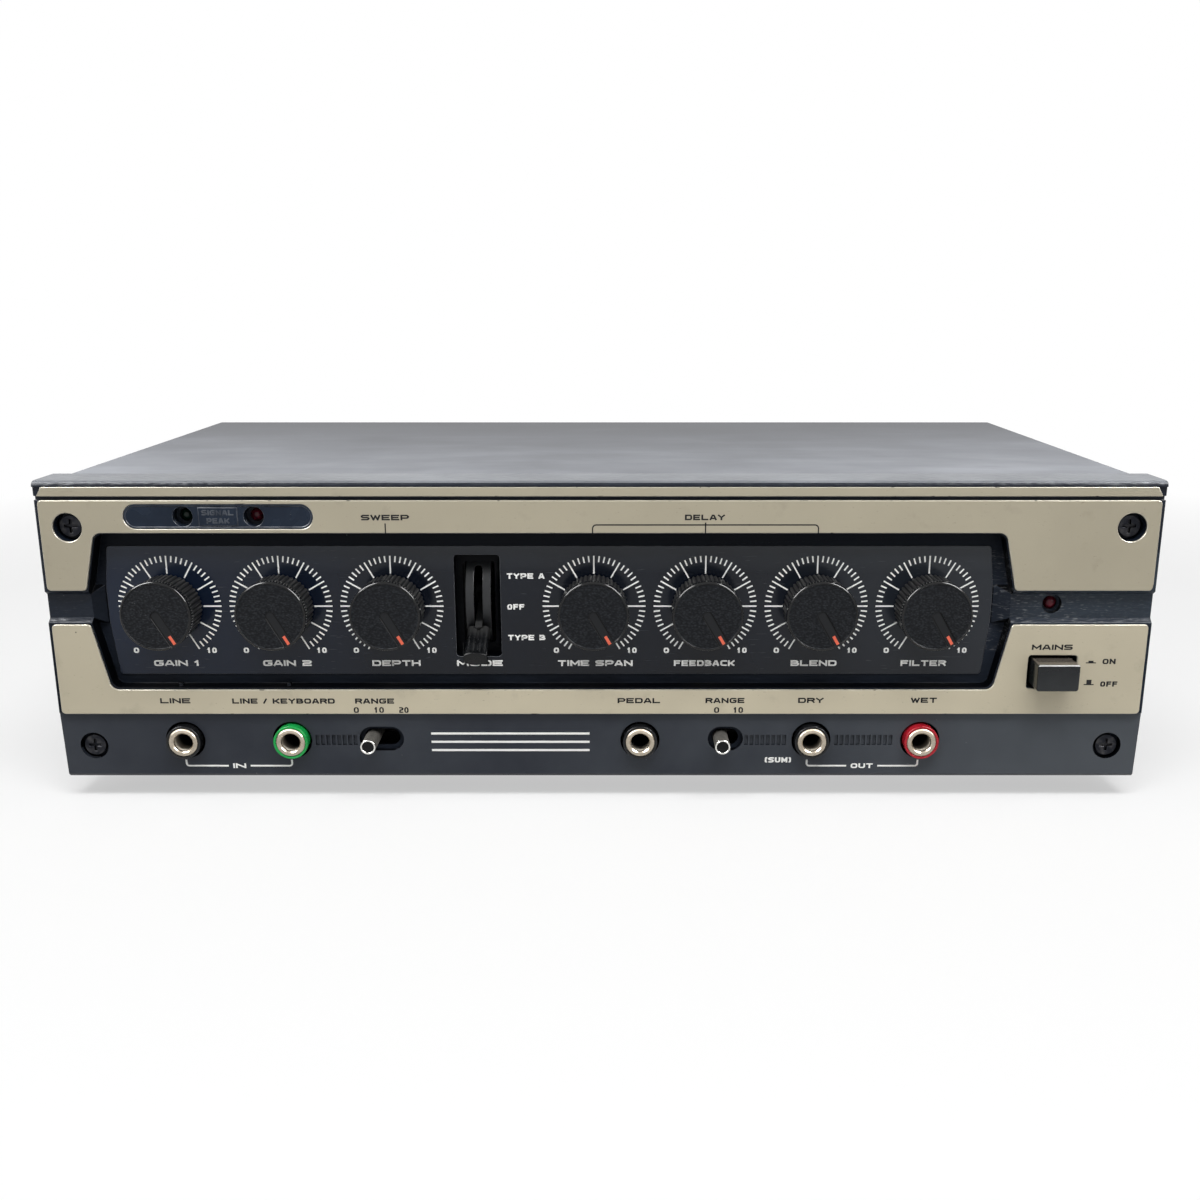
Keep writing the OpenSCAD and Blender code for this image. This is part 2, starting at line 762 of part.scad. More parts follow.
module floor_hole() translate([0, 0, -cut]) cylinder(h = sheet_t + 2 * cut, d = small_screw_d + 2 * fit);

module chassis_tray() color("#8d9296") at_face() difference() {
    tray_sheet();
    dial_places() bar(sub_y - cut, sheet_t + 2 * cut, bush_d + 0.2);
    jack_places([0:4]) bar(sub_y - cut, sheet_t + 2 * cut, nose_d + 0.2);
    slab(sub_y - cut, sheet_t + 2 * cut) slots(0);
    slab(sub_y - cut, sheet_t + 2 * cut) translate([power_x, power_z])
        square(plunger + 2 * air + 1, center = true);
    slab(sub_y - cut, sheet_t + 2 * cut) translate([selector_x, dial_z])
        square([guide_w + 2, 2 * guide_r - 2], center = true);
    screw_places() bar(sub_y - cut, sheet_t + 2 * cut, screw_d + 2 * fit);
    translate([gland_x, case_depth - sheet_t - cut, gland_z]) bar(0, sheet_t + 2 * cut, neck_d + 4 * fit);
    for (p = foot_places) translate([p[0], p[1], 0]) floor_hole();
    core_feet() floor_hole();
    for (y = cover_screw_ys) translate([-cover_w, y, cover_screw_z]) rotate([0, 90, 0])
        cylinder(h = 2 * cover_w, d = small_screw_d + 2 * fit);
}

module cover_screws() color("#2b2d31") at_face() for (s = [0, 1], y = cover_screw_ys)
    mirror([s, 0, 0]) translate([cover_w / 2, y, cover_screw_z]) rotate([0, 90, 0]) difference() {
        union() {
            cylinder(h = small_head_t, d1 = small_head_d, d2 = small_head_d - 1);
            translate([0, 0, -small_screw_len]) cylinder(h = small_screw_len + cut, d = small_screw_d);
        }
        for (a = [0, 90]) translate([0, 0, small_head_t]) rotate(a)
            cube([0.8, small_head_d * 0.6, small_head_t], center = true);
    }

module rubber_feet() color("#1d1e20") translate([0, plate_y, 0]) for (p = foot_places)
    translate([p[0], p[1], 0]) difference() {
        rotate_extrude() polygon([
            [0, 0],
            [foot_d / 2 - 1.6, 0],
            [foot_d / 2 - 1, 0.6],
            [foot_d / 2, foot_h],
            [0, foot_h]
        ]);
        translate([0, 0, -cut]) cylinder(h = foot_h - foot_web + cut, d = foot_recess);
        cylinder(h = foot_h + cut, d = small_screw_d + 0.4);
    }

module foot_screws() color("#b9bcc0") translate([0, plate_y, 0]) for (p = foot_places)
    translate([p[0], p[1], foot_h - foot_web - small_head_t]) {
        cylinder(h = small_head_t, d1 = small_head_d - 1, d2 = small_head_d);
        cylinder(h = small_head_t + foot_web + sheet_t + 2, d = small_screw_d);
    }

module main_board() color("#6a7d3a") at_face() difference() {
    translate([board_x - board_w / 2, board_mid - board_l / 2, board_z]) cube([board_w, board_l, board_t]);
    for (p = board_holes) translate([p[0], p[1], board_z - cut])
        cylinder(h = board_t + 2 * cut, d = small_screw_d + 4 * fit);
}

module board_standoffs() color("#c9b458") at_face() for (p = board_holes)
    translate([p[0], p[1], sheet_t]) difference() {
        cylinder(h = standoff_h, d = 6.4, $fn = 6);
        cylinder(h = standoff_h + cut, d = small_screw_d + 2 * fit);
    }

module board_screws() color("#c4c7ca") at_face() for (p = board_holes)
    translate([p[0], p[1], board_z + board_t]) {
        cylinder(h = small_head_t, d1 = small_head_d, d2 = small_head_d - 1);
        translate([0, 0, -board_t - small_screw_len])
            cylinder(h = board_t + small_screw_len, d = small_screw_d);
    }

module on_board(x, y) translate([board_x + x, board_mid + y, board_z + board_t]) children();

module delay_chips() color("#26272a") at_face() for (i = [0:4])
    on_board(chip_start + chip_pitch * i, chip_y) difference() {
        translate([-chip_w / 2, -chip_l / 2, 0]) cube([chip_w, chip_l, chip_t]);
        translate([0, chip_l / 2, chip_t / 2]) cylinder(h = chip_t, d = chip_w / 3);
    }

module filter_capacitors() color("#2f4a7a") at_face() {
    for (i = [0:4]) on_board(chip_start + chip_pitch * i, -chip_y) cylinder(h = cap_h, d = cap_d);
    for (i = [0:1]) on_board(big_cap_start + big_cap_pitch * i, -chip_y / 2)
        cylinder(h = big_cap_h, d = big_cap_d);
}

module core_feet() for (s = [-1, 1])
    translate([core_x + s * (core_w + core_foot) / 2, core_y, 0]) children();

module transformer_core() color("#6d6f72") at_face() {
    translate([core_x, core_y, sheet_t]) difference() {
        translate([-core_w / 2, -core_t / 2, 0]) cube([core_w, core_t, core_h]);
        for (s = [-1, 1]) translate([s * 1.5 * leg - leg / 2, -core_t, leg])
            cube([leg, 2 * core_t, core_h - 2 * leg]);
    }
    core_feet() difference() {
        translate([-core_foot / 2, -core_t / 2, sheet_t]) cube([core_foot, core_t, core_foot_t]);
        cylinder(h = sheet_t + core_foot_t + cut, d = small_screw_d + 4 * fit);
    }
}

module transformer_winding() color("#8a5a2b") at_face()
    translate([core_x, core_y, sheet_t + leg + air]) difference() {
        translate([-2 * leg + air, -core_t / 2 - leg, 0])
            cube([4 * leg - 2 * air, core_t + 2 * leg, core_h - 2 * leg - 2 * air]);
        translate([-leg - air, -core_t / 2 - air, -cut])
            cube([2 * leg + 2 * air, core_t + 2 * air, core_h]);
    }

module transformer_screws() color("#c4c7ca") at_face() core_feet()
    translate([0, 0, sheet_t + core_foot_t]) {
        cylinder(h = small_head_t, d1 = small_head_d, d2 = small_head_d - 1);
        translate([0, 0, -small_screw_len]) cylinder(h = small_screw_len, d = small_screw_d);
    }

module pot_cases() color("#9a9da0") at_face() dial_places() difference() {
    union() {
        bar(sub_back, pot_depth, pot_d);
        bar(sub_y - bush_len, bush_len + sheet_t + cut, bush_d);
        for (i = [-1:1]) translate([i * lug_pitch - lug_w / 2, sub_back + lug_y, -pot_d / 2 - lug_reach])
            cube([lug_w, lug_t, lug_reach + lug_root]);
    }
    bar(sub_y - bush_len - cut, shaft_root + air - sub_y + bush_len + cut, shaft_d + 2 * fit);
}

module pot_nuts() color("#c4c7ca") at_face() dial_places() difference() {
    translate([0, sub_y - nut_t, 0]) rotate([-90, 0, 0]) cylinder(h = nut_t, d = nut_af / cos(30), $fn = 6);
    bar(sub_y - nut_t - cut, nut_t + 2 * cut, bush_d + 2 * fit);
}

module pot_shaft(i) color("#c4c7ca") at_face() translate([dial_xs[i], 0, dial_z])
    bar(shaft_tip, shaft_root - shaft_tip, shaft_d);

// Knob in its own frame: z out of the panel, pointer along y
module knob_form() difference() {
    union() {
        linear_extrude(knob_h - cap_t / 2) difference() {
            circle(d = drum_d);
            for (i = [0:flutes - 1]) rotate(i * 360 / flutes) translate([drum_d / 2 + flute_d / 5, 0])
                circle(d = flute_d);
        }
        translate([0, 0, knob_h - cap_t]) rotate_extrude() {
            square([knob_d / 2 - cap_r, cap_t]);
            square([knob_d / 2, cap_t - cap_r]);
            translate([knob_d / 2 - cap_r, cap_t - cap_r]) circle(r = cap_r);
        }
    }
    translate([0, 0, -cut]) cylinder(h = knob_back - shaft_tip + air + cut, d = shaft_d + 2 * fit);
    translate([0, 0, -cut]) difference() {
        cylinder(h = knob_h - cap_t - 1 + cut, d = drum_d - 4.5);
        cylinder(h = knob_h, d = shaft_d + 4.5);
    }
    translate([0, 0, knob_h - face_sink]) cylinder(h = face_sink + cut, d = knob_d - 2 * face_rim);
    translate([0, 0, knob_h - pointer_d]) linear_extrude(pointer_d + cut) {
        circle(d = pointer_w);
        translate([-pointer_w / 2, 0]) square([pointer_w, knob_d]);
    }
}

module knob(i) color("#1c1d20") at_face() translate([dial_xs[i], knob_back, dial_z])
    rotate([0, knob_turn, 0]) rotate([90, 0, 0]) knob_form();

// Tube along x about the selector's pin
module about_pin(w, d) rotate([0, 90, 0]) cylinder(h = w, d = d, center = true);

module at_pin() translate([selector_x, guide_y, dial_z]) children();

module selector_guide() color("#3c3e42") at_face() {
    difference() {
        at_pin() difference() {
            about_pin(guide_w, 2 * guide_r);
            about_pin(guide_w + 2 * cut, 2 * (guide_r - guide_t));
        }
        translate([selector_x - guide_w, sub_y, 0]) cube([2 * guide_w, 4 * guide_r, bezel_h]);
        slab(0, sub_y) translate([selector_x, dial_z]) rotate(90) stadium(guide_slot_len, guide_slot);
    }
    for (s = [0, 1]) translate([selector_x, 0, dial_z]) mirror([0, 0, s])
        translate([-guide_w / 2, sub_y - guide_t, guide_r - 2.8]) cube([guide_w, guide_t, 7]);
}

// Barrel outline of the finger piece's end
module lever_end() {
    rise = (lever_h - lever_side) / 2;
    crown = (pow(lever_w / 2, 2) + pow(rise, 2)) / (2 * rise);
    intersection() {
        square([lever_w, lever_h], center = true);
        translate([0, crown - lever_h / 2]) circle(r = crown);
        translate([0, lever_h / 2 - crown]) circle(r = crown);
    }
}

// Lever about its pin, pointing to the front at the middle of its swing
module lever_form() {
    blade = guide_slot - 2 * air;
    root = guide_r + 1.2;
    ridge = lever_w / 4;
    difference() {
        union() {
            about_pin(hub_w, pin_d + 5);
            translate([-blade / 2, -root - cut, -lever_h / 2]) cube([blade, root + cut, lever_h]);
        }
        about_pin(hub_w + 2 * cut, pin_d + 2 * fit);
    }
    slab(-lever_len + cut, lever_len - root - cut) {
        for (s = [-1, 1]) translate([s * (lever_w / 2 - ridge), 0]) circle(r = ridge);
        square([lever_w - 2 * ridge, ridge], center = true);
    }
    slab(-lever_len, cut + 0.2) lever_end();
}

module selector_lever() color("#26282c") at_face() at_pin() rotate([lever_swing, 0, 0]) lever_form();

module selector_pin() color("#c4c7ca") at_face() at_pin() about_pin(guide_w + 4 * cheek_t, pin_d);

module selector_bracket() color("#9a9da0") at_face() difference() {
    for (s = [-1, 1]) translate([selector_x + s * (guide_w / 2 + cheek_t) - cheek_t / 2, sub_back, dial_z])
        translate([0, 0, -cheek_h / 2]) cube([cheek_t, guide_y - sub_back + cheek_reach, cheek_h]);
    at_pin() about_pin(4 * guide_w, pin_d + 0.02);
}

module jack_ferrules() color("#c9c3b4") at_face() jack_places([0:4]) translate([0, -ferrule_reach, 0])
    rotate([-90, 0, 0]) rotate_extrude() polygon([
        [jack_bore / 2 + 0.5, 0],
        [ferrule_d / 2 - 0.4, 0],
        [ferrule_d / 2, 0.4],
        [ferrule_d / 2, ferrule_reach + collar_reach],
        [jack_bore / 2 + 0.8, ferrule_reach + collar_reach],
        [jack_bore / 2 + 0.8, ferrule_reach + ferrule_wall],
        [jack_bore / 2, ferrule_reach + ferrule_wall],
        [jack_bore / 2, 0.5]
    ]);

// Ring around a jack's nose
module collar() difference() {
    bar(-collar_reach, cavity_y + collar_reach, collar_d);
    bar(-collar_reach - cut, cavity_y + collar_reach + 2 * cut, nose_d + 2 * fit);
}

module jack_collars_black() color("#1a1b1d") at_face() jack_places(black_jacks) collar();

module jack_collar_green() color("#2fae5a") at_face() jack_places([green_jack]) collar();

module jack_collar_red() color("#c02a35") at_face() jack_places([red_jack]) collar();

module jack_cases() color("#2a2b2d") at_face() jack_places([0:4]) difference() {
    union() {
        bar(collar_reach, sub_back + cut - collar_reach, nose_d);
        translate([-jack_case / 2, sub_back, -jack_case / 2]) cube([jack_case, jack_depth, jack_case]);
    }
    bar(-cut, sub_back + jack_depth - 1.5 + cut, jack_bore + 0.6);
    bar(-cut, ferrule_wall + cut, jack_bore + 1.6 + 2 * fit);
}

// Slide switch case with a cavity that the slider runs in
module level_switch_case(x, travel) {
    inner_w = slider_w + travel + 2 * air;
    inner_h = slider_h + 2 * air;
    inner_d = slider_t + 2 * air;
    translate([x, sub_back, slot_z]) difference() {
        translate([-inner_w / 2 - switch_wall, 0, -inner_h / 2 - switch_wall])
            cube([inner_w + 2 * switch_wall, inner_d + 2 * switch_wall, inner_h + 2 * switch_wall]);
        translate([-inner_w / 2, switch_wall, -inner_h / 2]) cube([inner_w, inner_d, inner_h]);
        slab(-cut, switch_wall + 2 * cut) stadium(travel + rod_d + 2 * air, rod_d + 2 * air);
    }
}

module level_switch_cases() color("#9a9da0") at_face() {
    level_switch_case(in_slot_x, in_travel);
    level_switch_case(out_slot_x, out_travel);
}

// Slide lever at the left end of its travel
module level_lever(x, travel) translate([x - travel / 2, 0, slot_z]) {
    slider_y = sub_back + switch_wall + air;
    difference() {
        bar(-rod_reach, slider_y + rod_reach + cut, rod_d);
        bar(-rod_reach - cut, rod_hollow + cut, rod_d - 2 * rod_wall);
    }
    translate([-slider_w / 2, slider_y, -slider_h / 2]) cube([slider_w, slider_t, slider_h]);
}

module input_level_lever() color("#d0d2d4") at_face() level_lever(in_slot_x, in_travel);

module output_level_lever() color("#d0d2d4") at_face() level_lever(out_slot_x, out_travel);

module at_power() translate([power_x, 0, power_z]) children();

module power_button() color("#17181a") at_face() at_power() difference() {
    slab(-button_reach, button_reach + button_back) round_rect(button_w, button_h, 1);
    slab(socket_y, button_back - socket_y + cut) square(plunger + 2 * fit, center = true);
}

module power_plunger() color("#d8d4c8") at_face() at_power()
    slab(socket_y + air, plunger_back - socket_y - air) square(plunger, center = true);

module power_switch_case() color("#9a9da0") at_face() at_power() difference() {
    translate([-power_case / 2, sub_back, -power_case / 2]) cube([power_case, power_case_len, power_case]);
    slab(sub_back - cut, power_case_len - switch_wall + cut) square(plunger + 2 * air, center = true);
}

module mains_gland() color("#1d1e20") at_face() translate([gland_x, case_depth, gland_z])
    rotate([-90, 0, 0]) rotate_extrude() polygon([
        [gland_bore / 2, gland_t],
        [gland_d / 2 - 1.5, gland_t],
        [gland_d / 2, 1],
        [gland_d / 2, 0],
        [neck_d / 2, 0],
        [neck_d / 2, -sheet_t],
        [gland_d / 2 - 1, -sheet_t],
        [gland_d / 2 - 1, -sheet_t - 2],
        [gland_bore / 2, -sheet_t - 2]
    ]);

front_bezel();
upper_trim_plate();
lower_trim_plate();
top_trim_strip();
dial_plate();
level_window();
selector_guide();
top_cover();
chassis_tray();
rubber_feet();
foot_screws();
bezel_screws();
cover_screws();
level_lamp_green();
level_lamp_red();
power_lamp();
main_board();
board_standoffs();
board_screws();
delay_chips();
filter_capacitors();
transformer_core();
transformer_winding();
transformer_screws();
pot_cases();
pot_nuts();
jack_ferrules();
jack_collars_black();
jack_collar_green();
jack_collar_red();
jack_cases();
level_switch_cases();
selector_bracket();
selector_pin();
power_switch_case();
mains_gland();
selector_lever();
input_level_lever();
output_level_lever();
power_button();
power_plunger();
for (i = [0:6]) knob(i);
for (i = [0:6]) pot_shaft(i);
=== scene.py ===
import bmesh
import bpy
import json
import math
from mathutils import Matrix, Vector


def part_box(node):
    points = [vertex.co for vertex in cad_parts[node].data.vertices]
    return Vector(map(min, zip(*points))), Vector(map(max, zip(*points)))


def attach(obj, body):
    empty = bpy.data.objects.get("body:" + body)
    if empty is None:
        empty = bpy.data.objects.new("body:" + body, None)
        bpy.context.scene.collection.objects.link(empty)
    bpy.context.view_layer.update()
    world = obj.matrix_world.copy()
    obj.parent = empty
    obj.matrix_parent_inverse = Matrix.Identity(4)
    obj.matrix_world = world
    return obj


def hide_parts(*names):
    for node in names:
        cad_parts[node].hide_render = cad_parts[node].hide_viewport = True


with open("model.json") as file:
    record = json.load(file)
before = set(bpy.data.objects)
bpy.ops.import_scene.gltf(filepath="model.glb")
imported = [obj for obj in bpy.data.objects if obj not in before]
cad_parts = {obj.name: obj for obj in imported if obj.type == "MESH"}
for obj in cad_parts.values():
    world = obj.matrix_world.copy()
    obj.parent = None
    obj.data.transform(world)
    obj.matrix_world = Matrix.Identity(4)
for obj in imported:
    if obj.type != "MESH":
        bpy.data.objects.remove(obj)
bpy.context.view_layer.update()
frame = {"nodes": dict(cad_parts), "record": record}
mm = 0.001

# Front coordinates, in millimetres: x right, y into the case from the plates' face, z up from the bezel's foot
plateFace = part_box("upper_trim_plate")[0].y
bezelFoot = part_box("front_bezel")[0].z
dialFace = (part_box("dial_plate")[0].y - plateFace) / mm
knobFront = (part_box("knob_1")[0].y - plateFace) / mm
rodFront = (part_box("input_level_lever")[0].y - plateFace) / mm
knobRadius = (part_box("knob_1")[1].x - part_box("knob_1")[0].x) / 2 / mm
knobRim = 0.8
knobFace = knobRadius - knobRim  # radius of the grained face
panelTop = (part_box("lower_trim_plate")[0].z - bezelFoot) / mm
dialZ = sum(corner.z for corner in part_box("knob_1")) / 2 / mm - bezelFoot / mm
ringLevel = sum(corner.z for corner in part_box("jack_ferrules")) / 2 / mm - bezelFoot / mm
dialXs = [sum(corner.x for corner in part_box(f"knob_{i}")) / 2 / mm for i in range(1, 8)]
slotOf = {part["node"]: part["material_slot"] for part in frame["record"]["subparts"]}
bodyOf = {node: body for body, nodes in frame["record"]["behaviour"]["bodies"].items() for node in nodes}
panelLean = {"foot": 2.6, "forward": 1.2}  # the jack panel's depth at its foot, and how far forward its top is


def front(x, y, z):
    return Vector((x * mm, plateFace + y * mm, bezelFoot + z * mm))


def onDialPlate(z):
    return dialFace


def onTrim(z):
    return 0.0


def onJackPanel(z):  # the panel leans back towards the foot
    return panelLean["foot"] - panelLean["forward"] * z / panelTop


print("frame loaded:", len(frame["nodes"]), "nodes")


def operator(operation, reflected=False):  # a method that adds a math node
    def act(wire, other):
        first, second = (other, wire) if reflected else (wire, other)
        return wire.graph.add("ShaderNodeMath", {"operation": operation}, {0: first, 1: second})
    return act


class Wire:  # a socket that takes part in sums
    def __init__(self, graph, socket):
        self.graph, self.socket = graph, socket

    def out(self, name):
        return Wire(self.graph, self.socket.node.outputs[name])

    __add__, __radd__ = operator("ADD"), operator("ADD", True)
    __sub__, __rsub__ = operator("SUBTRACT"), operator("SUBTRACT", True)
    __mul__, __rmul__ = operator("MULTIPLY"), operator("MULTIPLY", True)
    __truediv__, __mod__ = operator("DIVIDE"), operator("MODULO")
    __lt__, __gt__ = operator("LESS_THAN"), operator("GREATER_THAN")


class Graph:  # a node tree under construction
    def __init__(self, tree):
        self.tree = tree

    def plug(self, socket, value):
        if isinstance(value, Wire):
            self.tree.links.new(value.socket, socket)
        elif socket.type == "RGBA" and len(value) == 3:
            socket.default_value = (*value, 1.0)
        else:
            socket.default_value = value

    def add(self, kind, settings=None, sockets=None, out=0):
        node = self.tree.nodes.new(kind)
        for key, value in (settings or {}).items():
            setattr(node, key, value)
        for key, value in (sockets or {}).items():
            self.plug(node.inputs[key], value)
        return Wire(self, node.outputs[out])


class Finish(Graph):  # one material
    def __init__(self, name, **constants):
        self.material = bpy.data.materials.new(name)
        self.material.use_nodes = True
        super().__init__(self.material.node_tree)
        self.shader = self.tree.nodes["Principled BSDF"]
        self.place = self.add("ShaderNodeTexCoord", out="Object")
        self.set(**constants)

    def set(self, **values):
        for key, value in values.items():
            self.plug(self.shader.inputs[key.replace("_", " ")], value)
        return self

    def axis(self, name):
        return self.add("ShaderNodeSeparateXYZ", sockets={0: self.place}, out=name)

    def depth(self):  # millimetres behind the plates' face
        return (self.axis("Y") - plateFace) / mm

    def level(self):  # millimetres above the bezel's foot
        return (self.axis("Z") - bezelFoot) / mm

    def facing(self, axis):  # how far a face looks along an axis, from -1 to 1
        return self.add("ShaderNodeSeparateXYZ", sockets={0: self.place.out("Normal")}, out=axis)

    def tilt(self):
        return self.facing("Z")

    def upward(self):  # 1 on faces that look up
        return self.tilt() > 0.7

    def attribute(self, name):
        return self.add("ShaderNodeAttribute", {"attribute_name": name}, out="Fac")

    def absolute(self, value):
        return self.add("ShaderNodeMath", {"operation": "ABSOLUTE"}, {0: value})

    def stretched(self, x, y, z):
        return self.add("ShaderNodeMapping", sockets={"Vector": self.place, "Scale": (x, y, z)})

    def cloud(self, size, detail=3.0, vector=None):
        sockets = {"Vector": vector or self.place, "Scale": 1 / size, "Detail": detail, "Roughness": 0.55}
        return self.add("ShaderNodeTexNoise", sockets=sockets)

    def between(self, value, low, high):
        return self.add("ShaderNodeMapRange", {"clamp": True}, {0: value, 1: low, 2: high})

    def patches(self, size, low=0.35, high=0.7, detail=3.0):  # soft-edged clouds from 0 to 1
        return self.between(self.cloud(size, detail), low, high)

    def mix(self, factor, first, second):
        return self.add("ShaderNodeMix", {"data_type": "RGBA"}, {0: factor, 6: first, 7: second}, out=2)

    def specks(self, spacing, size, share):  # scattered dust grains
        cells = self.add("ShaderNodeTexVoronoi", sockets={"Vector": self.place, "Scale": 1 / spacing})
        lot = self.add("ShaderNodeSeparateColor", sockets={0: cells.out("Color")})
        return (cells < size / spacing) * (lot < share)

    def dusted(self, colour, spacing, size, share, strength, tone):
        return self.mix(self.specks(spacing, size, share) * strength, colour, tone)

    def scratches(self, length, width, share):
        lines = self.cloud(1.0, 1.0, self.stretched(1 / length, 1 / width, 1 / width))
        return self.between(lines, 1 - share, 1.02 - share)

    def pebbles(self, size, squeeze):  # leather-like moulding grain
        spot = self.stretched(*squeeze)
        bend = self.cloud(size * 2.2, 2.0, spot)
        cells = self.add("ShaderNodeTexVoronoi", {"feature": "SMOOTH_F1"}, {
            "Vector": spot, "Scale": 1 / size, "Smoothness": 0.55, "Randomness": 1.0})
        return 1.0 - cells + bend * 0.7

    def wrinkles(self, along, across, share):  # short thin streaks, longer along x
        field = self.cloud(1.0, 2.0, self.stretched(1 / along, 1 / along, 1 / across))
        return self.between(field, share, share + 0.07)

    def brushed(self, size=0.12 * mm):  # fine turned lines
        return self.cloud(1.0, 2.0, self.stretched(1 / (8 * size), 1 / size, 1 / (8 * size)))

    def bump(self, height, depth, strength):
        relief = {"Height": height, "Distance": depth, "Strength": strength}
        return self.set(Normal=self.add("ShaderNodeBump", sockets=relief))


# Looks: colours are linear, places along x in metres, levels and depths in millimetres of the front coordinates
fineDust = (3 * mm, 0.09 * mm, 0.25, 0.4, (0.35, 0.35, 0.34))  # spacing, size, share, strength, colour
bezelLook = {
    "moulding": {"tone": (0.0062, 0.0094, 0.0175), "light": (0.032, 0.043, 0.058), "shine": 0.17,
                 "roughness": 0.28, "grain": 0.8},
    "panel": {"tone": (0.0165, 0.0205, 0.03), "light": (0.096, 0.108, 0.122), "shine": 0.25,
              "roughness": 0.4, "grain": 0.0},
    "well": {"tone": (0.0008, 0.0011, 0.002), "light": (0.018, 0.0235, 0.035), "shine": 0.06,
             "roughness": 0.42, "grain": 0.6}}
bezelGrain = {"size": 1.15 * mm, "depth": 0.2 * mm, "paintedWrinkleSheen": (0.24, 0.248, 0.256)}
bezelTones = {"foot": (0.008, 0.0095, 0.013), "filmAndSheen": (0.262, 0.276, 0.302),
              "dust": (5 * mm, 0.12 * mm, 0.35, 0.6, (0.3, 0.3, 0.29))}
bezelZones = {"channel": (45.0, 80.0), "top": 100.0, "footLine": 1.2, "dialFloor": 7.0, "shade": (66.0, 84.0),
              "paintedSheen": (20 * mm, 170 * mm), "streaks": (110 * mm, 132 * mm), "streakEnd": (146 * mm, 182 * mm),
              "leftEnd": (-165 * mm, -176 * mm), "rightEnd": (131 * mm, 146 * mm)}
trimLook = {"upper": (0.425, 0.384, 0.288), "lower": (0.575, 0.518, 0.386), "dull": (0.2, 0.178, 0.13),
            "edge": (0.5, 0.47, 0.39), "chip": (0.07, 0.066, 0.062), "scuff": (0.11, 0.098, 0.08),
            "nicks": (15 * mm, 0.3 * mm, 0.3, 0.8, (0.06, 0.056, 0.052)), "split": 60.0,
            "leftEnd": (-90 * mm, -175 * mm), "rightEnd": (115 * mm, 165 * mm)}
dialLook = {"sheet": ((0.001, 0.0026, 0.0072), (0.0024, 0.005, 0.0112)), "pale": (0.042, 0.049, 0.059),
            "left": (0.013, 0.027, 0.065), "scuff": (0.075, 0.08, 0.09),
            "dust": (6.5 * mm, 0.13 * mm, 0.3, 0.5, (0.4, 0.4, 0.39)), "topBand": (72.0, 86.0),
            "rightEnd": (40 * mm, 140 * mm), "leftEnd": (-60 * mm, -165 * mm)}
windowLook = {"moulding": ((0.0045, 0.011, 0.025), (0.012, 0.022, 0.041)),
              "dust": (3.5 * mm, 0.1 * mm, 0.35, 0.5, (0.35, 0.35, 0.34))}
coverLook = {"paint": (0.013, 0.0145, 0.0185), "filmAndSheen": (0.385, 0.398, 0.43), "scuff": (0.21, 0.22, 0.24),
             "dust": (4.5 * mm, 0.16 * mm, 0.45, 0.6, (0.45, 0.45, 0.44)), "smear": (14, 45, 45),
             "back": (20.0, 180.0), "sides": (50 * mm, 175 * mm)}
knobLook = {"rim": ((0.003, 0.0034, 0.0042), (0.0065, 0.007, 0.008)),
            "hide": ((0.0038, 0.0047, 0.0064), (0.0188, 0.0212, 0.0255)),
            "groove": ((0.015, 0.016, 0.018), (0.0012, 0.0013, 0.0016)), "wall": (0.001, 0.0011, 0.0013),
            "flutes": ((0.0034, 0.0038, 0.0046), (0.027, 0.0265, 0.026)), "spark": (0.22, 0.22, 0.21),
            "dust": (4 * mm, 0.1 * mm, 0.3, 0.5, (0.3, 0.3, 0.29)), "slack": 0.05, "faceDepth": 0.22,
            "grooveDepth": 0.46, "grooveEdge": (1.05, 1.5), "drum": (2.0, 2.6), "ridge": (11.0, 11.28)}
buttonLook = {"face": ((0.004, 0.0055, 0.0075), (0.0185, 0.0215, 0.024)), "side": (0.015, 0.017, 0.018),
              "top": (0.15, 0.13, 0.108), "edge": (0.72, 0.72, 0.72), "low": (42.0, 36.0)}
slideLook = {"rod": ((0.26, 0.248, 0.226), (0.15, 0.143, 0.13)), "rim": (0.7, 0.69, 0.66), "rimDepth": 0.3}
ringLook = {"nickel": ((0.44, 0.388, 0.314), (0.22, 0.19, 0.15)), "bore": (0.72, 0.66, 0.57),
            "depths": (-0.3, 0.2), "above": (2.2, 3.6)}
# Where a plastic changes: measure, its range, share of the change, colour, added roughness
# leverInside: the lever darker further into its slot, a painted shade
leverInside = (Finish.depth, (1.0, 5.0), 1.0, (0.0012, 0.0013, 0.0016), 0.4)
# guideTop: the guide strips lighter towards their top, a painted sheen
guideTop = (Finish.level, (58.0, 76.0), 0.6, (0.042, 0.044, 0.047), 0.0)
jackBore = (Finish.depth, (1.5, 6.0), 1.0, (0.01, 0.01, 0.011), 0.0)
trayLook = {"steel": ((0.52, 0.53, 0.54), (0.3, 0.3, 0.29)), "paint": (0.006, 0.006, 0.007), "painted": 19.0}
rubberLook = {"rubber": ((0.011, 0.011, 0.012), (0.026, 0.026, 0.027)),
              "dust": (2.5 * mm, 0.12 * mm, 0.4, 0.5, (0.22, 0.21, 0.2))}
boardLook = {"Scale": 90.0, "Mortar Size": 0.035, "Color1": (0.12, 0.16, 0.05), "Color2": (0.15, 0.19, 0.06),
             "Mortar": (0.3, 0.33, 0.13)}
boardStain = (0.1, 0.12, 0.04)


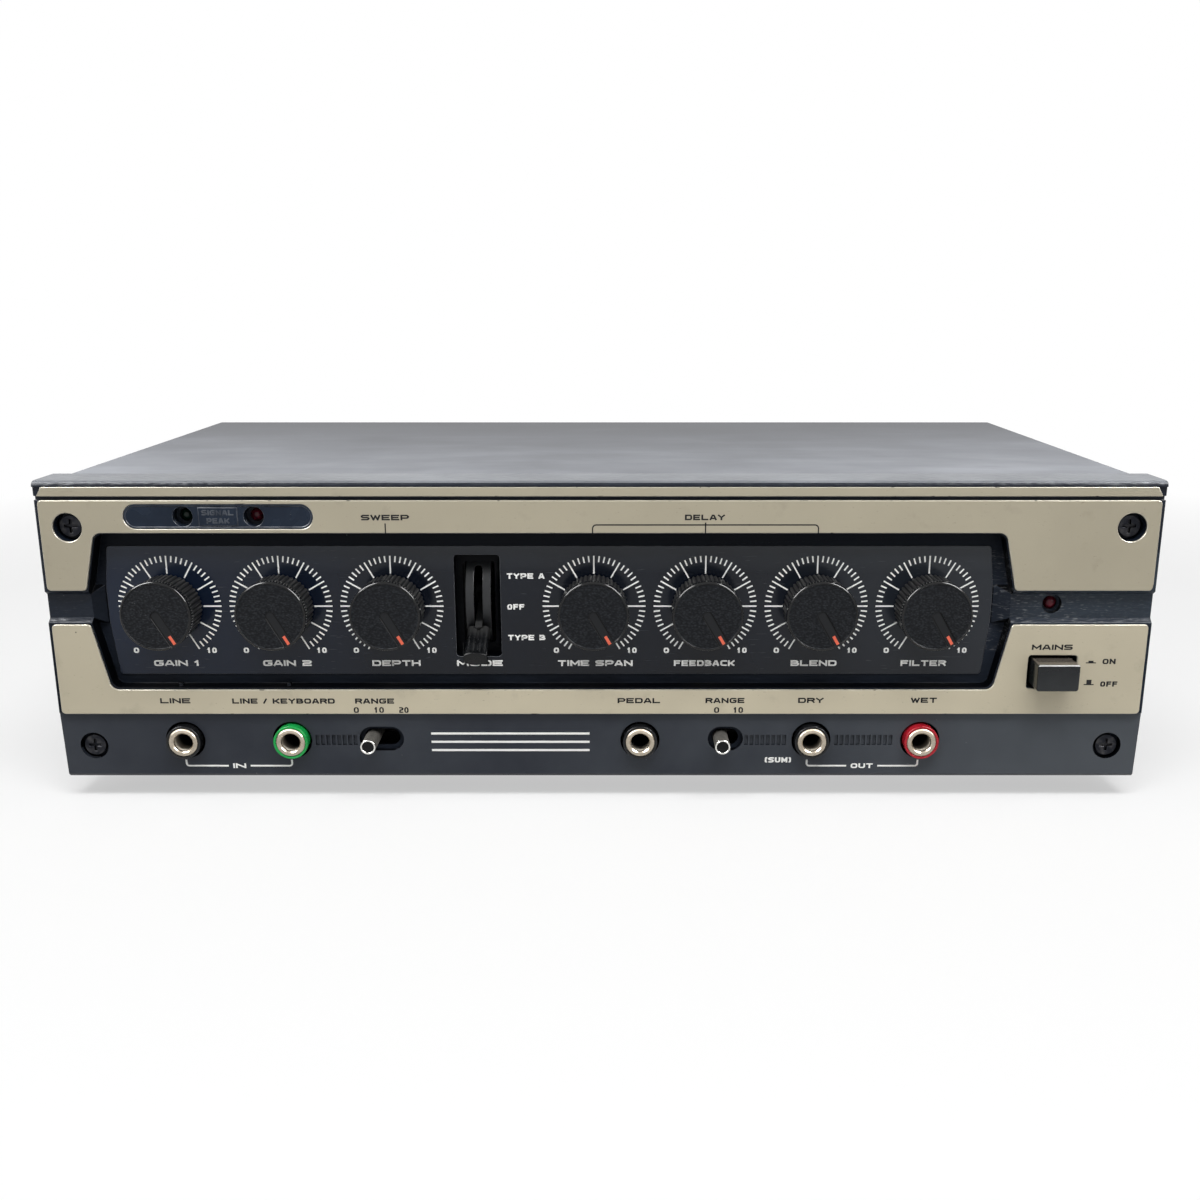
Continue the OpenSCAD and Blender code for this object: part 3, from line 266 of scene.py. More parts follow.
def bezelFinish(part):
    look, zones = bezelLook[part], bezelZones
    fin = Finish("black bezel " + part, Specular_IOR_Level=look["shine"])
    blotch = fin.patches(22 * mm, 0.35, 0.75)
    smear = fin.patches(48 * mm, 0.4, 0.72, 4.0)
    # paintedSheen: lighter towards the right, a painted sheen; it also lightens the well floor and the channels'
    # ends
    paintedSheen = fin.between(fin.axis("X"), *zones["paintedSheen"])
    if part == "panel":
        colour = fin.mix(blotch * 0.12 + smear * 0.2 + paintedSheen * 0.5, look["tone"], look["light"])
        # darker below the foot line: painted shade on the panel's downward-facing foot
        colour = fin.mix((fin.level() < zones["footLine"]) * 0.5, colour, bezelTones["foot"])
    else:
        colour = mouldedColour(fin, part, blotch, smear, paintedSheen)
    colour = fin.dusted(colour, *bezelTones["dust"])
    fin.set(Base_Color=colour, Roughness=look["roughness"] + blotch * 0.12)
    pebbles = fin.pebbles(bezelGrain["size"], (0.45, 1.0, 1.0))
    return fin.bump(pebbles * look["grain"] + fin.cloud(0.35 * mm) * 0.05, bezelGrain["depth"], 0.9)


def mouldedColour(fin, part, blotch, smear, paintedSheen):  # leathery streaks in the side channels, lighter along the wrinkles as a painted sheen; dust and a painted highlight on the top
    look, zones = bezelLook[part], bezelZones
    level, across = fin.level(), fin.axis("X")
    inChannel = (level > zones["channel"][0]) * (level < zones["channel"][1])
    patchy = fin.patches(2.6 * mm, 0.44, 0.62, 2.0)
    leather = fin.wrinkles(2.4 * mm, 0.36 * mm, 0.56) * (0.25 + patchy * 0.75) * inChannel
    shown = fin.between(across, *zones["streaks"]) * (1.0 - fin.between(across, *zones["streakEnd"]) * 0.85)
    if part == "well":
        # the walls keep the dark tone and the floors facing the front are lighter: painted shade on the walls; the
        # floor darker towards its top: painted shade
        floor = (fin.facing("Y") < -0.7) * (fin.depth() < zones["dialFloor"])
        floor = floor * (1.0 - fin.between(level, *zones["shade"]) * 0.6)
        colour = fin.mix(floor * (0.45 + paintedSheen * 0.4 + blotch * 0.25), look["tone"], look["light"])
        return fin.mix(leather * shown * 0.35, colour, bezelGrain["paintedWrinkleSheen"])
    outside = fin.between(across, *zones["leftEnd"]) + fin.between(across, *zones["rightEnd"])
    colour = fin.mix(blotch * 0.2 + inChannel * outside * (0.1 + paintedSheen * 0.6), look["tone"], look["light"])
    # upward faces in the channels darkened towards the tone: painted shade
    colour = fin.mix(fin.upward() * inChannel * 0.6, colour, look["tone"])
    colour = fin.mix(leather * (0.05 + shown * 0.45), colour, bezelGrain["paintedWrinkleSheen"])
    # on the top rim: settled dust and a painted highlight
    filmAndSheen = fin.upward() * (level > zones["top"]) * (0.65 + smear * 0.3)
    return fin.mix(filmAndSheen, colour, bezelTones["filmAndSheen"])


def trimFinish():
    look = trimLook
    fin = Finish("champagne satin plate", Metallic=0.22, Specular_IOR_Level=0.35)
    cloud = fin.patches(30 * mm, 0.3, 0.75)
    fine = fin.cloud(0.25 * mm, 2.0)
    stain = fin.patches(9 * mm, 0.6, 0.78, 6.0)
    scuff = fin.scratches(1.6 * mm, 0.22 * mm, 0.235)
    across = fin.axis("X")
    ends = fin.between(across, *look["leftEnd"]) + fin.between(across, *look["rightEnd"]) * 0.7
    # the lower plate lighter than the upper: painted reflection; both plates darker towards their ends
    colour = fin.mix(fin.level() < look["split"], look["upper"], look["lower"])
    colour = fin.mix(cloud * 0.14 + stain * 0.22 + ends * 0.18, colour, look["dull"])
    colour = fin.dusted(colour, *look["nicks"])
    colour = fin.mix(scuff * 0.55, colour, look["scuff"])
    fin.set(Base_Color=colour, Roughness=0.38 + fine * 0.16 + stain * 0.1)
    return fin.bump(fine, 0.02 * mm, 0.5)


# edge bevels in a lighter colour: painted highlight, with dark chips of wear
def paintedTrimHighlightFinish():
    fin = Finish("bright cut edge", Metallic=0.2)
    worn = fin.patches(3.5 * mm, 0.64, 0.7, 5.0)
    return fin.set(Base_Color=fin.mix(worn, trimLook["edge"], trimLook["chip"]), Roughness=0.3 + worn * 0.35)


def dialFinish():
    look = dialLook
    fin = Finish("dark dial sheet", Specular_IOR_Level=0.27)
    cloud = fin.patches(26 * mm)
    scuff = fin.scratches(6 * mm, 0.5 * mm, 0.27)
    across = fin.axis("X")
    # lighter along the top band and towards the right: painted reflection; bluish towards the left end: painted
    # tint of light
    pale = fin.between(fin.level(), *look["topBand"]) * 0.9 + fin.between(across, *look["rightEnd"]) * 0.45
    colour = fin.mix(pale, fin.mix(cloud, *look["sheet"]), look["pale"])
    colour = fin.mix(fin.between(across, *look["leftEnd"]) * 0.4, colour, look["left"])
    colour = fin.mix(scuff * 0.25, colour, look["scuff"])
    colour = fin.dusted(colour, *look["dust"])
    fin.set(Base_Color=colour, Roughness=0.15 + cloud * 0.06)
    return fin.bump(fin.cloud(0.3 * mm), 0.006 * mm, 0.5)


def windowFinish():
    fin = Finish("smoky window moulding", Specular_IOR_Level=0.2)
    cloud = fin.patches(12 * mm)
    colour = fin.dusted(fin.mix(cloud, *windowLook["moulding"]), *windowLook["dust"])
    fin.set(Base_Color=colour, Roughness=0.22 + cloud * 0.12)
    return fin.bump(fin.cloud(0.4 * mm), 0.015 * mm, 0.5)


def coverFinish():
    look = coverLook
    fin = Finish("black lacquered steel", Specular_IOR_Level=0.08)
    top = fin.upward()
    filmAndSheen = fin.patches(38 * mm, 0.25, 0.8, 5.0)
    smear = fin.between(fin.cloud(1.0, 4.0, fin.stretched(*look["smear"])), 0.45, 0.8)
    scuff = fin.scratches(14 * mm, 0.7 * mm, 0.25)
    # the top's film is settled dust and painted reflection: more towards the sides, less towards the back
    back = fin.between(fin.depth(), *look["back"])
    sides = fin.between(fin.absolute(fin.axis("X")), *look["sides"])
    reflectionAndDustAmount = 0.5 + filmAndSheen * 0.3 + smear * 0.25 + sides * 0.22
    paintedReflectionAndDust = top * reflectionAndDustAmount * (1.06 - back * 0.82) + (1.0 - top) * filmAndSheen * 0.1
    colour = fin.mix(paintedReflectionAndDust, look["paint"], look["filmAndSheen"])
    colour = fin.mix(scuff * 0.4, colour, look["scuff"])
    colour = fin.dusted(colour, *look["dust"])
    fin.set(Base_Color=colour, Roughness=0.3 + paintedReflectionAndDust * 0.42)
    return fin.bump(fin.cloud(0.9 * mm, 2.0), 0.03 * mm, 0.5)


def knobFinish():
    look = knobLook
    fin = Finish("grained knob plastic", Specular_IOR_Level=0.13, Coat_Roughness=0.08)
    sunk = fin.depth() - knobFront
    fromAxis = fin.attribute("fromAxis")
    beside = fin.between(fin.absolute(fin.attribute("fromPointer")), *look["grooveEdge"])
    middle = fromAxis < knobFace + look["slack"]
    face = middle * (sunk < look["faceDepth"])
    groove = middle * (sunk > look["grooveDepth"])
    grooveWall = middle * (sunk > look["faceDepth"]) * (sunk < look["grooveDepth"])
    drum = fin.between(sunk, *look["drum"])
    leather = fin.pebbles(0.62 * mm, (0.7, 1.0, 1.2))
    colour = fin.mix(fin.patches(7 * mm, 0.4, 0.75) * 0.5, *look["rim"])
    # the face's grain darker in its dimples: painted shade in the grain
    colour = fin.mix(face, colour, fin.mix(fin.between(leather, 0.75, 1.25), *look["hide"]))
    # the pointer groove's floor darker along its edges and its walls near black: painted shade
    colour = fin.mix(groove, colour, fin.mix(beside, *look["groove"]))
    colour = fin.mix(grooveWall, colour, look["wall"])
    # flute crests lighter than their valleys: painted light and shade
    colour = fin.mix(drum, colour, fin.mix(fin.between(fromAxis, *look["ridge"]), *look["flutes"]))
    # light specks on the drum: painted glints
    colour = fin.mix(drum * fin.specks(1.3 * mm, 0.16 * mm, 0.35) * 0.5, colour, look["spark"])
    colour = fin.dusted(colour, *look["dust"])
    flat = face + groove + grooveWall
    fin.set(Base_Color=colour, Roughness=0.14 + flat * 0.26 + drum * 0.2, Coat_Weight=(1.0 - flat) * 0.4)
    return fin.bump(leather * face, 0.2 * mm, 1.0)


def buttonFinish():
    look = buttonLook
    fin = Finish("polished black button", Specular_IOR_Level=0.3)
    cloud = fin.patches(6 * mm)
    low = fin.between(fin.level(), *look["low"])
    tilt = fin.tilt()
    edge = (tilt > 0.35) * (tilt < 0.85) * (fin.facing("Y") < -0.35)
    # lighter towards the bottom of the face: painted reflection
    colour = fin.mix(cloud * 0.3 + low * 0.7, *look["face"])
    # the left side lighter: painted light
    colour = fin.mix((fin.facing("X") < -0.6) * 0.8, colour, look["side"])
    colour = fin.mix(fin.upward() * (0.45 + cloud * 0.2), colour, look["top"])
    # a light line along the front top edge: painted highlight
    colour = fin.mix(edge * 0.75, colour, look["edge"])
    fin.set(Base_Color=fin.dusted(colour, *fineDust), Roughness=0.09 + cloud * 0.06)
    return fin.bump(fin.cloud(0.4 * mm), 0.006 * mm, 0.6)


def plasticFinish(name, dark, light, roughness, grain=0.02 * mm, shine=0.3, patch=6 * mm, dusty=True, zone=None):
    fin = Finish(name, Specular_IOR_Level=shine)
    cloud = fin.patches(patch)
    colour, rough = fin.mix(cloud, dark, light), roughness + cloud * 0.1
    if dusty:
        colour = fin.dusted(colour, *fineDust)
    if zone:
        measure, ends, share, tone, rougher = zone
        there = fin.between(measure(fin), *ends)
        colour, rough = fin.mix(there * share, colour, tone), rough + there * rougher
    fin.set(Base_Color=colour, Roughness=rough)
    return fin.bump(fin.cloud(0.4 * mm), grain, 0.6)


def metalFinish(name, bright, dull, roughness, lineSize=0.12 * mm):
    fin = Finish(name, Metallic=1.0)
    tarnish = fin.patches(2.4 * mm, 0.44, 0.7, 5.0)
    lines = fin.brushed(lineSize)
    fin.set(Base_Color=fin.mix(tarnish * 0.7, bright, dull), Roughness=roughness + tarnish * 0.14 + lines * 0.06)
    return fin.bump(lines, 0.008 * mm, 0.4)


def slideFinish():
    fin = Finish("plated slide", Metallic=1.0)
    rim = fin.depth() < rodFront + slideLook["rimDepth"]
    colour = fin.mix(fin.patches(1.2 * mm) * 0.6, *slideLook["rod"])
    fin.set(Base_Color=fin.mix(rim, colour, slideLook["rim"]), Roughness=0.46 - rim * 0.3)
    return fin.bump(fin.brushed(), 0.008 * mm, 0.4)


def ferruleFinish():
    fin = Finish("nickel ring")
    inside = fin.between(fin.depth(), *ringLook["depths"])
    above = fin.between(fin.level(), *(ringLevel + rise for rise in ringLook["above"]))
    worn = fin.patches(1.6 * mm, 0.4, 0.75, 4.0)
    colour = fin.mix(inside, fin.mix(worn * 0.5, *ringLook["nickel"]), ringLook["bore"])
    fin.set(Base_Color=colour, Metallic=1.0 - inside * 0.8, Roughness=0.22 + worn * 0.12 + above * 0.3)
    return fin.bump(fin.brushed(), 0.008 * mm, 0.4)


def trayFinish():
    look = trayLook
    fin = metalFinish("zinc-plated sheet", *look["steel"], 0.28, 0.5 * mm)
    # the tray's front, seen through the panel's openings, is black: painted shade
    painted = fin.depth() < look["painted"]
    colour = fin.mix(0.25 + fin.patches(6 * mm, detail=2.0) * 0.3, *look["steel"])
    return fin.set(Base_Color=fin.mix(painted, colour, look["paint"]), Metallic=1.0 - painted)


def lensFinish(name, deep, lit):
    fin = Finish(name, Specular_IOR_Level=0.2, Roughness=0.14)
    fin.set(Base_Color=fin.mix(fin.patches(1.6 * mm, detail=1.0), deep, lit))
    return fin.bump(fin.cloud(0.9 * mm, 1.0), 0.02 * mm, 0.5)


def rubberFinish():
    fin = Finish("black rubber", Specular_IOR_Level=0.3)
    cloud = fin.patches(5 * mm)
    colour = fin.dusted(fin.mix(cloud, *rubberLook["rubber"]), *rubberLook["dust"])
    fin.set(Base_Color=colour, Roughness=0.66 + cloud * 0.16)
    return fin.bump(fin.cloud(0.5 * mm), 0.05 * mm, 0.7)


def boardFinish():
    fin = Finish("resin circuit board", Coat_Weight=0.3, Coat_Roughness=0.15)
    tracks = fin.add("ShaderNodeTexBrick", sockets={"Vector": fin.place, **boardLook})
    cloud = fin.cloud(8 * mm)
    fin.set(Base_Color=fin.mix(cloud * 0.4, tracks, boardStain), Roughness=0.4 + cloud * 0.2)
    return fin.bump(cloud, 0.03 * mm, 0.5)


def inkFinish(name, ink, worn):
    fin = Finish(name, Specular_IOR_Level=0.3)
    wear = fin.patches(0.5 * mm, 0.66, 0.82, 4.0)
    return fin.set(Base_Color=fin.mix(wear * 0.2, ink, worn), Roughness=0.45 + wear * 0.2)


finishes = {
    "bezel_plastic": bezelFinish("moulding"),
    "trim_plate": trimFinish(),
    "dial_sheet": dialFinish(),
    "window_plastic": windowFinish(),
    "cover_paint": coverFinish(),
    "tray_steel": trayFinish(),
    "foot_rubber": rubberFinish(),
    "black_screw": metalFinish("blackened screw", (0.016, 0.017, 0.021), (0.062, 0.061, 0.062), 0.34),
    "plated_screw": metalFinish("plated screw", (0.62, 0.61, 0.58), (0.34, 0.32, 0.28), 0.26),
    "knob_plastic": knobFinish(),
    "button_plastic": buttonFinish(),
    "lever_plastic": plasticFinish("satin black lever", (0.0028, 0.0032, 0.004), (0.0065, 0.0072, 0.0085), 0.2,
                                   shine=0.2, zone=leverInside),
    "bright_plate": ferruleFinish(),
    "slide_plate": slideFinish(),
    "collar_black": plasticFinish("black collar", (0.005, 0.0055, 0.0065), (0.01, 0.0105, 0.012), 0.2),
    "collar_green": plasticFinish("green collar", (0.01, 0.34, 0.066), (0.018, 0.45, 0.096), 0.2),
    "collar_red": plasticFinish("red collar", (0.39, 0.01, 0.021), (0.53, 0.02, 0.034), 0.2),
    "lens_green": lensFinish("unlit green lens", (0.0015, 0.0075, 0.0045), (0.0045, 0.019, 0.011)),
    "lens_red": lensFinish("unlit red lens", (0.056, 0.0035, 0.009), (0.135, 0.011, 0.023)),
    "board": boardFinish(),
    "chip": plasticFinish("moulded chip", (0.016, 0.016, 0.018), (0.028, 0.028, 0.03), 0.45),
    "capacitor": plasticFinish("capacitor sleeve", (0.02, 0.05, 0.15), (0.032, 0.07, 0.19), 0.3),
    "core_steel": metalFinish("varnished laminations", (0.2, 0.2, 0.21), (0.12, 0.1, 0.09), 0.42),
    "winding": plasticFinish("taped winding", (0.26, 0.11, 0.025), (0.36, 0.17, 0.045), 0.4, 0.05 * mm),
    "pot_case": metalFinish("pressed steel case", (0.48, 0.49, 0.5), (0.3, 0.29, 0.27), 0.3),
    "black_case": plasticFinish("black switch moulding", (0.01, 0.01, 0.011), (0.018, 0.018, 0.02), 0.42),
}
paintedTrimHighlight = paintedTrimHighlightFinish()
# lighter bevels on the dial plate and window, and the window's embossed words: painted highlights
paintedDialHighlight = plasticFinish("dial sheet edge", (0.08, 0.086, 0.096), (0.15, 0.156, 0.168), 0.35)
paintedWindowHighlight = plasticFinish("window edge", (0.03, 0.038, 0.054), (0.105, 0.117, 0.138), 0.25)
whiteInk = inkFinish("white ink", (1.0, 1.0, 0.97), (0.55, 0.55, 0.54))
blackInk = inkFinish("black ink", (0.004, 0.004, 0.005), (0.06, 0.055, 0.046))
pointerInk = inkFinish("orange-red pointer ink", (0.86, 0.155, 0.085), (0.62, 0.16, 0.1))
rodShadePlug = plasticFinish("dark rod plug", (0.0035, 0.0038, 0.0044), (0.0075, 0.008, 0.0088), 0.5, shine=0.12)
# parts seen through the selector's slot in near black: painted shade
behindSlot = plasticFinish("black oxide steel", (0.0012, 0.0012, 0.0014), (0.003, 0.003, 0.0033), 0.6,
                           shine=0.04)
guideStrip = plasticFinish("satin guide strip", (0.005, 0.0056, 0.0068), (0.01, 0.0108, 0.0125), 0.3,
                           shine=0.35, patch=5 * mm, dusty=False, zone=guideTop)
# the bore pale near its mouth and black deeper in: the pale part is painted light on the lit bore wall
jackMouldingLitBore = plasticFinish("jack moulding", (0.36, 0.331, 0.285), (0.46, 0.423, 0.366), 0.45,
                             shine=0.2, patch=1.5 * mm, dusty=False, zone=jackBore)
ownFinish = {"selector_pin": behindSlot, "selector_bracket": behindSlot, "selector_guide": guideStrip,
             "jack_cases": jackMouldingLitBore}


def finishOf(node):
    return ownFinish.get(node, finishes[slotOf[node]])


for node, part in frame["nodes"].items():
    part.data.materials.clear()
    part.data.materials.append(finishOf(node).material)
print("finishes written:", len(bpy.data.materials))


def linked(thing):
    bpy.context.scene.collection.objects.link(thing)
    return thing


def plainMesh(thing, name):  # the evaluated shape as a mesh of its own
    bpy.context.view_layer.update()
    evaluated = thing.evaluated_get(bpy.context.evaluated_depsgraph_get())
    mesh = bpy.data.meshes.new_from_object(evaluated)
    mesh.name = name
    bpy.data.objects.remove(thing)
    return mesh


def newPiece(name, mesh, body):
    piece = linked(bpy.data.objects.new(name, mesh))
    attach(piece, body)
    return piece


# Softened copies of the solids: edge radius, steps round it and deepest softened edge behind the plates' face
everyEdge = 200
dressing = {node: settings for settings, nodes in (
    ((0.22, 2, 8), "front_bezel upper_trim_plate lower_trim_plate top_trim_strip"),
    ((0.12, 1, 8), "dial_plate"),
    ((0.15, 2, 8), "level_window"),
    ((0.15, 2, 12), "selector_guide"),
    ((0.25, 2, 5), "selector_lever"),
    ((0.75, 4, 0), "power_button"),
    ((0.15, 2, everyEdge), "top_cover"),
    ((0.12, 1, everyEdge), "chassis_tray"),
    ((0.3, 2, everyEdge), "rubber_feet"),
    ((0.2, 2, everyEdge), "foot_screws"),
    ((0.18, 2, everyEdge), "bezel_screws cover_screws"),
    ((0.12, 2, everyEdge), "jack_ferrules"),
    ((0.22, 3, everyEdge), "jack_collars_black jack_collar_green jack_collar_red"),
    ((0.16, 2, 0), "input_level_lever output_level_lever"),
    ((0.3, 2, everyEdge), "mains_gland"),
    ((0.1, 1, everyEdge), "pot_nuts"),
    ((0.0, 0, 0), "level_lamp_green level_lamp_red power_lamp"),
    ((0.12, 2, everyEdge), " ".join(f"knob_{i + 1}" for i in range(len(dialXs)))),
) for node in nodes.split()}
# the bevels of these solids take a painted highlight
paintedHighlightEdges = {"upper_trim_plate": paintedTrimHighlight, "lower_trim_plate": paintedTrimHighlight, "top_trim_strip": paintedTrimHighlight,
              "dial_plate": paintedDialHighlight, "level_window": paintedWindowHighlight}
sharpAngle = math.radians(32)
flatAngle = math.radians(0.4)
mergeGap = {"solid": 0.002 * mm, "print": 0.0005 * mm}
smallEdge = 20 * mm  # shorter ones on the jack panel stay crisp


def softEdge(node, edge, deepest):
    if len(edge.link_faces) != 2 or edge.calc_face_angle(0) < sharpAngle:
        return False
    depth = max(v.co.y for v in edge.verts) - plateFace
    top = max(v.co.z for v in edge.verts) - bezelFoot
    onPanel = node == "front_bezel" and top < (panelTop + 1) * mm and edge.calc_length() < smallEdge
    return depth < deepest * mm and not onPanel and not (node == "front_bezel" and onChannelFloor(edge.verts))


def onChannelFloor(corners):  # its edges stay crisp, because the lamp's cup nearly meets the upper one
    w = dialWell
    spots = [((v.co.y - plateFace) / mm, (v.co.z - bezelFoot) / mm) for v in corners]
    return all(abs(y - w["channel"]) < w["slack"] and w["channelFoot"] < z < w["channelTop"] for y, z in spots)


# The bezel's dial well in front coordinates, and where its three finishes lie
dialWell = {"left": -170.8, "right": 138.1, "foot": 32.6, "top": 86.9, "depth": 0.75, "channel": 2.6,
            "channelFoot": 53.0, "channelTop": 70.0, "slack": 0.1, "cup": 3.45, "cupDepth": (2.62, 20.0)}
panelOpenings = {"above": 0.4, "reach": 8.0, "sunk": 0.9, "wallSunk": 0.2, "wallFacing": -0.5, "margin": 1.5}
bezelParts = [bezelFinish("panel"), bezelFinish("well")]
lampSpot = (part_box("power_lamp")[0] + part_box("power_lamp")[1]) / 2


def bezelPart(face):  # 0 moulding, 1 jack panel, 2 insides of the well, the lamp's cup and the panel's openings
    x, y, z = face.center.x / mm, (face.center.y - plateFace) / mm, (face.center.z - bezelFoot) / mm
    w, p = dialWell, panelOpenings
    if z < panelTop + p["above"] and y < p["reach"]:
        sunk = y - onJackPanel(z)
        opening = sunk > p["sunk"] or sunk > p["wallSunk"] and face.normal.y > p["wallFacing"]
        return 2 if opening and p["margin"] < z < panelTop - p["margin"] else 1
    inWell = w["left"] < x < w["right"] and w["foot"] < z < w["top"] and y > w["depth"]
    fromLamp = math.hypot(face.center.x - lampSpot.x, face.center.z - lampSpot.z) / mm
    inCup = fromLamp < w["cup"] and w["cupDepth"][0] < y < w["cupDepth"][1]
    return 2 if inWell or inCup else 0


# Visible radii of the jacks' collars and rings, how far forward a collar's lip comes, and the solids' own radii
jackShape = {"collar": 5.9, "lip": 5.05, "lipDepth": 0.5, "forward": 0.7, "ring": 5.0,
             "solidRing": 5.2, "ringEdge": (4.5, 5.3), "collarEdge": 6.0}


def islands(work):  # the vertices of each separate solid
    unseen = set(work.verts)
    while unseen:
        island = [unseen.pop()]
        for v in island:
            around = {edge.other_vert(v) for edge in v.link_edges} & unseen
            island += around
            unseen -= around
        yield island


def slimJacks(work, node):
    j = jackShape
    nearest, furthest = j["ringEdge"]
    for island in islands(work):
        xs, zs = [v.co.x for v in island], [v.co.z for v in island]
        axis = Vector(((min(xs) + max(xs)) / 2, 0, (min(zs) + max(zs)) / 2))
        for v in island:
            out = math.hypot(v.co.x - axis.x, v.co.z - axis.z) / mm
            lip = (v.co.y - plateFace) / mm < j["lipDepth"]
            if node == "jack_ferrules":
                share = j["ring"] / j["solidRing"] if nearest < out < furthest else 1.0
            else:
                share = j["collar"] / out if out > j["collarEdge"] else j["lip"] / out if lip else 1.0
                v.co.y -= j["forward"] * mm * lip
            v.co.x, v.co.z = axis.x + (v.co.x - axis.x) * share, axis.z + (v.co.z - axis.z) * share


pointerLine = {"inner": 7.8, "outer": 11.0, "width": 1.0, "floor": 0.5, "height": 0.14, "turn": 150.0,
               "soft": 0.06}


def knobMeasures(mesh, index):  # distances from the axis and from the pointer's line, for the finish
    turn = math.radians(pointerLine["turn"])
    fromAxis = mesh.attributes.new("fromAxis", "FLOAT", "POINT")
    fromPointer = mesh.attributes.new("fromPointer", "FLOAT", "POINT")
    for v, away, beside in zip(mesh.vertices, fromAxis.data, fromPointer.data):
        x, z = v.co.x / mm - dialXs[index], (v.co.z - bezelFoot) / mm - dialZ
        away.value = math.hypot(x, z)
        beside.value = x * math.cos(turn) - z * math.sin(turn)


def softened(node, radius, steps, deepest):
    work = bmesh.new()
    work.from_mesh(frame["nodes"][node].data)
    bmesh.ops.remove_doubles(work, verts=work.verts, dist=mergeGap["solid"])
    bmesh.ops.dissolve_limit(work, angle_limit=flatAngle, verts=work.verts, edges=work.edges)
    if node.startswith(("jack_collar", "jack_ferrules")):
        slimJacks(work, node)
    weight = work.edges.layers.float.new("bevel_weight_edge")
    for edge in work.edges:
        edge[weight] = float(softEdge(node, edge, deepest))
    mesh = bpy.data.meshes.new(node)
    work.to_mesh(mesh)
    work.free()
    mesh.materials.append(finishOf(node).material)
    thing = linked(bpy.data.objects.new(node + "_work", mesh))
    if radius:
        soft = thing.modifiers.new("soft edges", "BEVEL")
        soft.width, soft.segments = radius * mm, steps
        soft.limit_method = "WEIGHT"
        soft.use_clamp_overlap = False
        even = thing.modifiers.new("even shading", "WEIGHTED_NORMAL")
        even.keep_sharp, even.weight = True, 100
        if node in paintedHighlightEdges:
            mesh.materials.append(paintedHighlightEdges[node].material)
            soft.material = 1
    mesh.shade_smooth()
    mesh.set_sharp_from_angle(angle=sharpAngle)
    if node == "front_bezel":
        for edge in mesh.edges:
            edge.use_edge_sharp |= onChannelFloor([mesh.vertices[i] for i in edge.vertices])
    whole = plainMesh(thing, node + "_softened")
    if node.startswith("knob_"):
        knobMeasures(whole, int(node[-1]) - 1)
    if node == "front_bezel":
        for fin in bezelParts:
            whole.materials.append(fin.material)
        for face in whole.polygons:
            face.material_index = bezelPart(face)
    return whole


for node, (radius, steps, deepest) in dressing.items():
    piece = newPiece(node + "_finished", softened(node, radius, steps, deepest), bodyOf[node])
    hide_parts(node)
print("solids softened:", len(dressing))


class Maker(Graph):  # a geometry tree with named inputs
    def __init__(self, name, inputs):
        super().__init__(bpy.data.node_groups.new(name, "GeometryNodeTree"))
        face = self.tree.interface
        face.new_socket("Geometry", in_out="OUTPUT", socket_type="NodeSocketGeometry")
        face.new_socket("Geometry", in_out="INPUT", socket_type="NodeSocketGeometry")
        kinds = {int: "NodeSocketInt", float: "NodeSocketFloat", bpy.types.Material: "NodeSocketMaterial"}
        self.values = {}
        for key, value in inputs.items():
            socket = face.new_socket(key, in_out="INPUT", socket_type=kinds[type(value)])
            self.values[socket.identifier] = value
        self.source = self.add("NodeGroupInput")

    def vector(self, x, y, z):
        return self.add("ShaderNodeCombineXYZ", sockets={0: x, 1: y, 2: z})

    def run(self, result, points, name):
        whole = self.add("GeometryNodeRealizeInstances", sockets={0: result})
        painted = self.add("GeometryNodeSetMaterial", sockets={0: whole, "Material": self.source.out("Finish")})
        self.tree.links.new(painted.socket, self.tree.nodes.new("NodeGroupOutput").inputs[0])
        mesh = bpy.data.meshes.new(name)
        mesh.from_pydata(points, [], [])
        thing = linked(bpy.data.objects.new(name, mesh))
        modifier = thing.modifiers.new(name, "NODES")
        modifier.node_group = self.tree
        for key, value in self.values.items():
            modifier[key] = value
        return plainMesh(thing, name)


tickRing = {"Count": 51, "Sweep": 300.0, "Radius": 17.4 * mm, "Long": 6.1 * mm, "Short": 2.1 * mm,
            "Width": 0.5 * mm, "Thickness": 0.1 * mm, "Long every": 5}


def dialTicks():
    maker = Maker("dial tick ring", {**tickRing, "Finish": whiteInk.material})
    want = maker.source.out
    index = maker.add("GeometryNodeInputIndex")
    turn = (index / (want("Count") - 1) - 0.5) * want("Sweep") * (math.pi / 180)
    isLong = (index % want("Long every")) < 0.5
    length = want("Short") + isLong * (want("Long") - want("Short"))
    radius = want("Radius") - length / 2
    sine = maker.add("ShaderNodeMath", {"operation": "SINE"}, {0: turn})
    cosine = maker.add("ShaderNodeMath", {"operation": "COSINE"}, {0: turn})
    spots = maker.add("GeometryNodePoints", sockets={
        "Count": want("Count"), "Position": maker.vector(radius * sine, 0.0, radius * cosine)})
    mark = maker.add("GeometryNodeMeshCube", sockets={
        "Size": maker.vector(want("Width"), want("Thickness"), 1.0)})
    ring = maker.add("GeometryNodeInstanceOnPoints", sockets={
        "Points": spots, "Instance": mark, "Rotation": maker.vector(0.0, turn, 0.0),
        "Scale": maker.vector(1.0, 1.0, length)})
    rings = maker.add("GeometryNodeInstanceOnPoints", sockets={"Points": want("Geometry"), "Instance": ring})
    centres = [front(x, dialFace, dialZ) for x in dialXs]
    return maker.run(rings, centres, "dial_ticks")


newPiece("dial_ticks", dialTicks(), "case")
print("dial ticks made")

inkThickness = 0.05  # half of it lies above the surface


